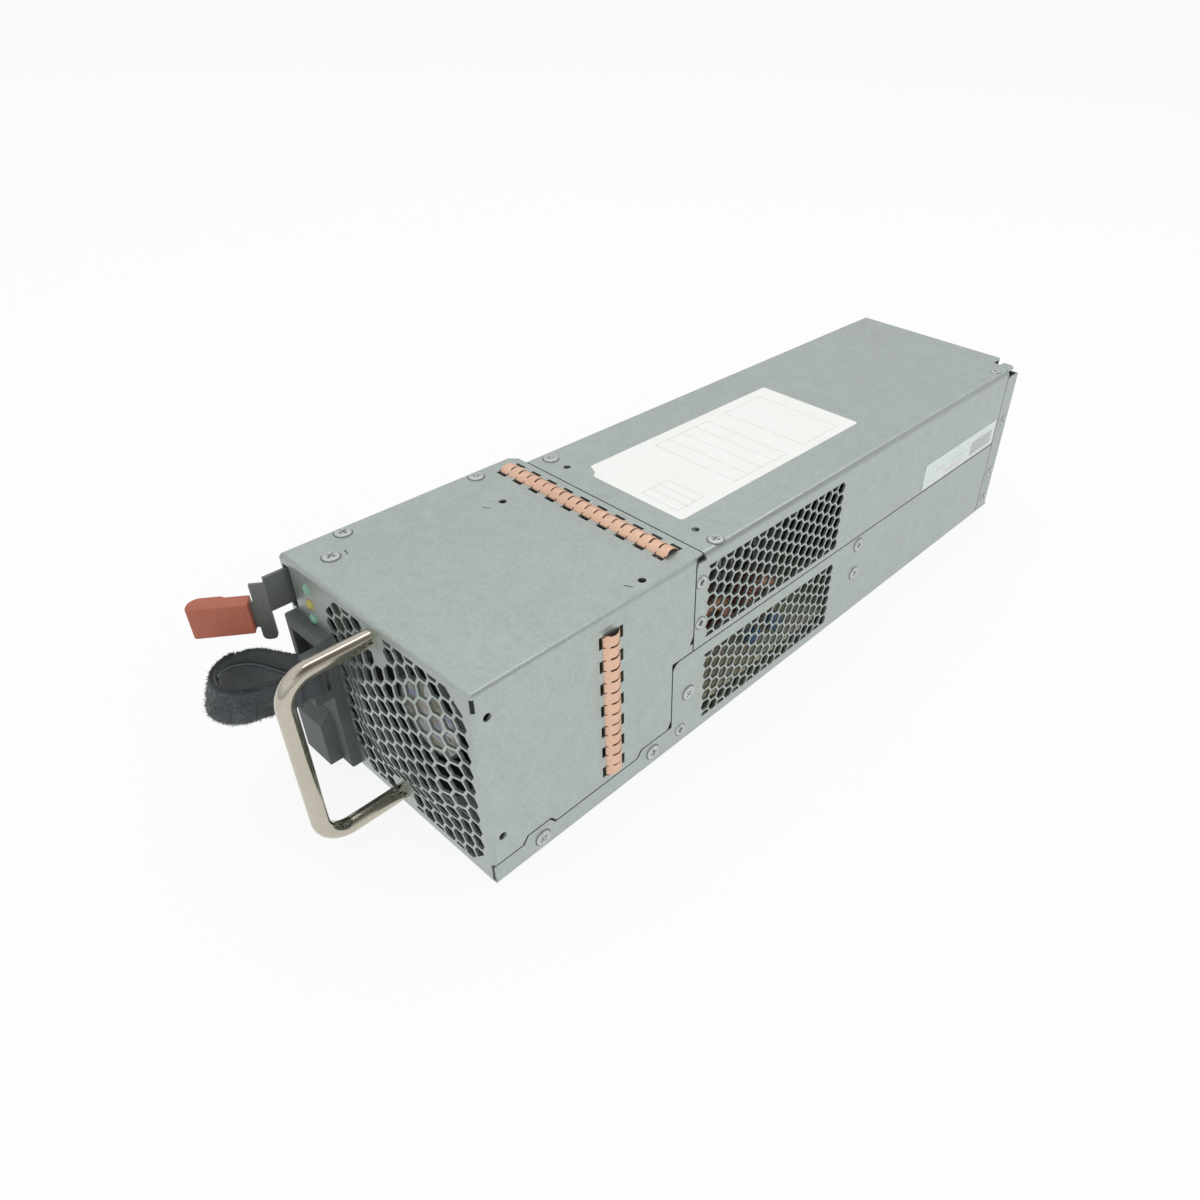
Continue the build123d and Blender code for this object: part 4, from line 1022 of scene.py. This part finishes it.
def outward(point):
    """Level direction away from the loop's middle."""
    return Vector((point.x - loop_middle.x, point.y - loop_middle.y, 0)).normalized()


def fuzz(grid, wrapped, per_point):
    """Loose fibres along the two edges of a band."""
    verts = []
    faces = []
    for row, sign in ((grid[0], -1), (grid[-1], 1)):
        for index in range(len(row) if wrapped else len(row) - 1):
            start = row[index]
            along = row[(index + 1) % len(row)] - start
            out = outward(start)
            for _ in range(per_point):
                root = start + along * random.random() + out * random.uniform(-0.5, 0.5) * MM
                sway = [random.uniform(-0.5, 0.5) for _ in range(2)]
                lean = Vector((*sway, sign)).normalized()
                tip = root + lean * random.uniform(*fibre_length) * MM
                wide = along.normalized() * random.uniform(*fibre_half) * MM
                sink = lean * fibre_sink * MM
                base = len(verts)
                verts += [root - wide - sink, root + wide - sink, tip]
                faces.append((base, base + 1, base + 2))
    return verts, faces


def nap(grid, count):
    """Short fibres that stand out from a band's outer face."""
    verts = []
    faces = []
    for _ in range(count):
        root = random.choice(random.choice(grid))
        shift = [random.uniform(-most, most) for most in (0.2, 0.2, 0.5)]
        root = root + Vector(shift) * MM
        out = outward(root)
        stray = Vector([random.uniform(-1, 1) for _ in range(3)])
        lean = (out + stray * 0.7).normalized()
        wide = lean.cross(Vector((0.3, 0.2, 0.9))).normalized() * random.uniform(*nap_half) * MM
        tip = root + out * nap_stand * MM + lean * random.uniform(*nap_length) * MM
        foot = root + out * nap_foot * MM
        base = len(verts)
        verts += [foot - wide, foot + wide, tip]
        faces.append((base, base + 1, base + 2))
    return verts, faces


edge_fibres = 11
face_fibres = 1200
fibres = [fuzz(strap_grid, True, edge_fibres), fuzz(lap_grid, False, edge_fibres)]
fibres.append(nap(lap_grid, face_fibres))
strap_fuzz = piece(
    "strap_fibres",
    *joined(fibres),
    materials["strap_fabric"],
    slot="strap_fabric",
)

# Labels: bare stock with plain ruled boxes

label_thickness = 0.14
print_level = 0.16
rule_width = 0.25
# X, depth, width, length and number of rows of each ruled box
label_boxes = (
    (6.0, 117.0, 19.0, 15.0, 3),
    (-18.0, 150.0, 44.0, 34.0, 4),
    (-18.0, 196.0, 44.0, 26.0, 1),
)


def flat_top(a, b, level):
    return at(a, b, TOP + level)


def flat_side(a, b, level):
    return at(RIGHT + level, a, b)


def bar(x, depth, width, length):
    """Thin printed bar on the top label."""
    outline = oblong(x, x + width, depth, depth + length)
    return prism(outline, label_thickness, print_level, flat_top)


def ruled(x, depth, width, length):
    """Printed frame on the top label."""
    return [
        bar(x, depth, width, rule_width),
        bar(x, depth + length - rule_width, width, rule_width),
        bar(x, depth, rule_width, length),
        bar(x + width - rule_width, depth, rule_width, length),
    ]


label_outline = rounded(
    (
        (-23.5, 118.0, 0),
        (-18.8, 116.0, 0),
        (-16.4, 113.0, 0.5),
        (30.5, 113.0, 1.5),
        (30.5, 232.0, 1.5),
        (-23.5, 232.0, 1.5),
    )
)
piece(
    "top_label",
    *prism(label_outline, 0.0, label_thickness, flat_top),
    label_stock,
    slot="galvanised_sheet",
)
prints = []
for x, depth, width, length, rows in label_boxes:
    prints += ruled(x, depth, width, length)
    pitch = length / rows
    prints += [bar(x, depth + pitch * step, width, rule_width) for step in range(1, rows)]
piece("label_rules", *joined(prints), label_faint, slot="galvanised_sheet")

side_corners = oblong(266.0, 340.0, 43.8, 57.5)
side_outline = rounded([(*corner, 0.8) for corner in side_corners])
piece(
    "side_label",
    *prism(side_outline, 0.0, label_thickness, flat_side),
    side_stock,
    slot="galvanised_sheet",
)


def side_bar(first, last, low, high):
    """Thin printed bar on the side label."""
    return prism(oblong(first, last, low, high), label_thickness, print_level, flat_side)


table_span = (269.0, 311.0)
table_levels = (45.6, 53.75)
row_pitch = 2.0
column_pitch = 8.4
table_rules = []
for row in range(5):
    level = table_levels[0] + row_pitch * row
    table_rules.append(side_bar(*table_span, level, level + 0.15))
for column in range(6):
    start = table_span[0] + column_pitch * column
    table_rules.append(side_bar(start, start + 0.2, *table_levels))
rose_bars = [side_bar(286.2, 302.2, 46.0, 47.3), side_bar(278.0, 285.4, 50.0, 51.3)]
mint_bars = [side_bar(294.6, 310.6, 50.0, 51.3), side_bar(269.6, 277.0, 48.0, 49.3)]
patches = (
    ("side_label_grey", label_grey, [side_bar(314.0, 337.0, 45.6, 53.0)]),
    ("side_label_rules", label_faint, table_rules),
    ("side_label_rose", label_rose, rose_bars),
    ("side_label_mint", label_mint, mint_bars),
)
for name, stock, bars in patches:
    piece(name, *joined(bars), stock, slot="galvanised_sheet")

# Painted shade in the gaps between the right side's sheets and in the front corner's slit

seam_low = -0.7
seam_high = -0.05


def seam_line(pairs):
    """Line of painted shade in the gap between two sheets, from (depth, height) pairs on its two
    edges.
    """
    rings = []
    for first, second in pairs:
        rings.append(
            [
                at(RIGHT + seam_low, *first),
                at(RIGHT + seam_high, *first),
                at(RIGHT + seam_high, *second),
                at(RIGHT + seam_low, *second),
            ]
        )
    return tube(rings)


def upright_seam(near, far, low, high):
    """Straight line of painted shade between two depths, from one height to another."""
    return seam_line([((near, z), (far, z)) for z in (low, high)])


flange_seam = [
    ((8.4, 8.0), (8.4, 8.6)),
    ((12.8, 8.0), (12.2, 8.6)),
    ((15.0, 11.0), (14.4, 11.6)),
    ((24.5, 11.0), (25.1, 11.6)),
    ((26.7, 8.0), (27.3, 8.6)),
    ((67.8, 8.0), (67.2, 8.6)),
    ((70.0, 11.0), (69.4, 11.6)),
    ((86.5, 11.0), (85.9, 11.6)),
]
wall_corner = (90.5, 38.5)
wall_radii = (4.0, 4.65)
for index in range(9):
    turn = math.pi * (1 - index / 16)
    pair = []
    for radius in wall_radii:
        depth = wall_corner[0] + radius * math.cos(turn)
        pair.append((depth, wall_corner[1] + radius * math.sin(turn)))
    flange_seam.append(tuple(pair))
flange_seam.append(((341.9, 42.5), (341.9, 43.1)))
seam_lines = [
    seam_line(flange_seam),
    upright_seam(97.0, 97.6, 43.3, 80.5),
    upright_seam(341.95, 342.65, 1.5, 81.0),
]
# Painted shade that fills the front corner's slit.
corner_levels = (77.05, 82.1)
slit_section = ((-1.15, 0.4), (-0.75, 0.42), (-0.42, 0.75), (-0.4, 1.15), (-1.15, 1.15))
slit_rings = [[at(RIGHT + x, depth, z) for x, depth in slit_section] for z in corner_levels]
seam_lines.append(tube(slit_rings))
piece("seam_shadow", *joined(seam_lines), painted_shade_black, slot="galvanised_sheet")

# Lanced marks on the top sheet: black marks of painted shade for the lanced cuts

mark_places = ((46.0, 69.5, 0.5), (-27.0, 68.5, 0.5), (-37.0, 16.5, -0.2))
mark_shape = ((-1.6, -0.22), (1.6, -0.12), (1.6, 0.12), (-1.6, 0.22))
mark_rise = 0.03
marks = []
for x, depth, turn in mark_places:
    way = Vector((math.cos(turn), math.sin(turn)))
    across = Vector((-way.y, way.x))
    outline = []
    for along, aside in mark_shape:
        spot = Vector((x, depth)) + way * along + across * aside
        outline.append((spot.x, spot.y))
    marks.append(prism(outline, 0.0, mark_rise, flat_top))
piece("lance_marks", *joined(marks), painted_shade_black, slot="galvanised_sheet")

# Fan hub sticker

hub_x, hub_z = 10.5, 42.5
hub_depth = 9.5
sticker = lathe(((0.2, 0.12), (15.2, 0.12), (15.4, 0.0)), 64, True)
piece(
    "hub_sticker",
    *placed(sticker, Matrix.Translation(at(hub_x, hub_depth, hub_z)) @ facing_front),
    hub_sticker,
    "front_rotor",
    "fan_plastic",
)

# Wound chokes: rings of wire turns, by X, depth, outer radius and number of turns

chokes = {
    "pfc_choke": (28.0, 131.5, 15.0, 46),
    "filter_choke": (28.0, 165.0, 12.5, 44),
    "common_mode_choke": (-26.0, 84.0, 15.0, 40),
}
ring_wall, ring_width = 8.0, 12.0
board_top = 9.6
turn_bulge = 0.55
corner_power = 0.55
section_points = 28


def squared(value, half):
    """Part of a half width, round a section with squared corners."""
    return math.copysign(abs(value) ** corner_power, value) * half


def choke_ring(ring_outer, turns):
    """Ring of wire turns about +Z; each turn bulges a little."""
    middle = ring_outer - ring_wall / 2
    half_radial = ring_wall / 2
    half_wide = ring_width / 2
    rings = []
    steps = turns * 6
    for index in range(steps):
        turn = 2 * math.pi * index / steps
        swell = turn_bulge * abs(math.sin(turn * turns / 2))
        ring = []
        for corner in range(section_points):
            around = 2 * math.pi * corner / section_points
            reach = middle + squared(math.cos(around), half_radial - turn_bulge + swell)
            wide = squared(math.sin(around), half_wide - turn_bulge + swell)
            ring.append(Vector((reach * math.cos(turn), reach * math.sin(turn), wide)) * MM)
        rings.append(ring)
    rings.append(rings[0])
    return tube(rings, closed_ends=False)


for name, (x, depth, radius, turns) in chokes.items():
    spot = Matrix.Translation(at(x, depth, board_top + radius)) @ facing_right
    ring = placed(choke_ring(radius, turns), spot)
    copper = materials["winding_copper"]
    made = piece(f"wound_{name}", *ring, copper, slot="winding_copper", angle=70.0)
    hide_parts(name)

# Small rounds on the edges of the sheets and mouldings

edge_rounds = (
    ("front_cover", 0.14),
    ("base_tray", 0.14),
    ("rear_cover", 0.14),
    ("rear_panel", 0.14),
    ("front_panel", 0.12),
    ("latch_lever", 0.15),
    ("inlet_surround", 0.5),
    ("output_connector", 0.4),
    ("power_inlet", 0.3),
)
for name, width in edge_rounds:
    soften(nodes[name], width, 2)

# Floor, light and camera

floor_reach = 60.0
floor_drop = 0.0003
floor_glow = 0.87
floor_dark = (0.955, 0.955, 0.955)
floor_light = (0.965, 0.965, 0.965)
floor_mesh = bpy.data.meshes.new("floor")
floor_corners = oblong(-floor_reach, floor_reach, -floor_reach, floor_reach)
floor_mesh.from_pydata([(x, y, 0) for x, y in floor_corners], [], [(0, 1, 2, 3)])
floor = bpy.data.objects.new("floor", floor_mesh)
floor.location.z = -floor_drop
scene.collection.objects.link(floor)
floor_shader = Shader("floor_white")
floor_shader.color(floor_shader.noise(2.0), ((0.3, floor_dark), (0.7, floor_light)))
floor_shader.set(roughness=0.9)
path = floor_shader.add("LightPath")
glow = floor_shader.add("Emission", {"Strength": 1.0})
bounced = floor_shader.add("Math", operation="MAXIMUM")
floor_shader.link(path.outputs["Is Glossy Ray"], bounced.inputs[0])
floor_shader.link(path.outputs["Is Transmission Ray"], bounced.inputs[1])
shown = floor_shader.add("Math", operation="MAXIMUM")
floor_shader.link(path.outputs["Is Camera Ray"], shown.inputs[0])
floor_shader.link(bounced.outputs[0], shown.inputs[1])
share = floor_shader.add("Math", {1: floor_glow}, operation="MULTIPLY")
floor_shader.link(shown.outputs[0], share.inputs[0])
mixed = floor_shader.add("MixShader")
floor_shader.link(share.outputs[0], mixed.inputs["Fac"])
floor_shader.link(floor_shader.bsdf.outputs["BSDF"], mixed.inputs[1])
floor_shader.link(glow.outputs["Emission"], mixed.inputs[2])
floor_shader.link(mixed.outputs[0], floor_shader.tree.nodes["Material Output"].inputs["Surface"])
floor_mesh.materials.append(floor_shader.material)

# World: an even light, white behind the object, and a toned room in reflections

white = (1, 1, 1, 1)
sky_strength = 0.58
patch_way = (0.62, 0.1, 0.78)
patch_core = 0.97
patch_edge = 0.78
patch_tone = (0.22, 0.2, 0.165, 1)
room_tone = (0.95, 0.95, 0.95, 1)
horizon_height = 0.55
horizon_strength = 0.56
world = bpy.data.worlds.new("studio")
scene.world = world
world.use_nodes = True
sky = world.node_tree
sky.nodes.clear()
sky_out = new_node(sky, "OutputWorld")
lit = new_node(sky, "Background", {"Color": white, "Strength": sky_strength})
seen = new_node(sky, "Background", {"Color": white})
room = new_node(sky, "Background")
way = new_node(sky, "TexCoord")
toward = new_node(sky, "VectorMath", {1: patch_way}, operation="DOT_PRODUCT")
shade = new_node(sky, "MapRange", {"From Min": patch_core, "From Max": patch_edge})
tone = new_node(sky, "ValToRGB")
tone.color_ramp.elements[0].color = patch_tone
tone.color_ramp.elements[1].color = room_tone
axes = new_node(sky, "SeparateXYZ")
horizon = new_node(sky, "MapRange", {"From Max": horizon_height, "To Min": horizon_strength})
rays = new_node(sky, "LightPath")
direct = new_node(sky, "Math", operation="MAXIMUM")
mirrored = new_node(sky, "MixShader")
pick = new_node(sky, "MixShader")
for source, target in (
    (way.outputs["Generated"], axes.inputs[0]),
    (axes.outputs["Z"], horizon.inputs["Value"]),
    (horizon.outputs["Result"], room.inputs["Strength"]),
    (way.outputs["Generated"], toward.inputs[0]),
    (toward.outputs["Value"], shade.inputs["Value"]),
    (shade.outputs["Result"], tone.inputs["Fac"]),
    (tone.outputs["Color"], room.inputs["Color"]),
    (rays.outputs["Is Glossy Ray"], mirrored.inputs["Fac"]),
    (lit.outputs[0], mirrored.inputs[1]),
    (room.outputs[0], mirrored.inputs[2]),
    (rays.outputs["Is Camera Ray"], direct.inputs[0]),
    (rays.outputs["Is Transmission Ray"], direct.inputs[1]),
    (direct.outputs[0], pick.inputs["Fac"]),
    (mirrored.outputs[0], pick.inputs[1]),
    (seen.outputs[0], pick.inputs[2]),
    (pick.outputs[0], sky_out.inputs["Surface"]),
):
    sky.links.new(source, target)


def softbox(name, spot, aim, size, power, mirrored_only=False):
    """Rectangular lamp that faces a point, for matt light or for a streak on polished metal."""
    lamp = bpy.data.lights.new(name, "AREA")
    lamp.shape = "RECTANGLE"
    lamp.size = size[0]
    lamp.size_y = size[1]
    lamp.energy = power
    holder = bpy.data.objects.new(name, lamp)
    holder.location = spot
    holder.rotation_euler = (Vector(aim) - Vector(spot)).to_track_quat("-Z", "Y").to_euler()
    holder.visible_glossy = mirrored_only
    holder.visible_diffuse = not mirrored_only
    scene.collection.objects.link(holder)


case_middle = (0, 0, 0.04)
handle_spot = (0, -0.2, 0.08)
softbox("key", (-0.3, 0.1, 1.9), case_middle, (2.4, 2.0), 13.0)
softbox("fill", (1.7, -0.1, 0.9), case_middle, (1.6, 2.0), 12.0)
softbox("streak", (-0.06, 0.22, 1.52), handle_spot, (0.28, 0.9), 2.2, True)

picture_width = 1200
focal_pixels = 912.1
centre_pixel = 700
sensor_width = 36.0
camera_spot = (220.49, -105.52, 260.60)
camera_data = bpy.data.cameras.new("camera")
camera_data.sensor_fit = "HORIZONTAL"
camera_data.sensor_width = sensor_width
camera_data.lens = focal_pixels / picture_width * sensor_width
camera_data.shift_x = (picture_width / 2 - centre_pixel) / picture_width
camera_data.clip_start = 0.01
camera = bpy.data.objects.new("camera", camera_data)
scene.collection.objects.link(camera)
look = Vector((-0.5110, 0.6230, -0.5920)).normalized()
across = Vector((0.7530, 0.6560, 0.0410))
across = (across - look * across.dot(look)).normalized()
upward = across.cross(look)
turned = Matrix((across, upward, -look)).transposed().to_4x4()
camera.matrix_world = Matrix.Translation(at(*camera_spot)) @ turned
scene.camera = camera
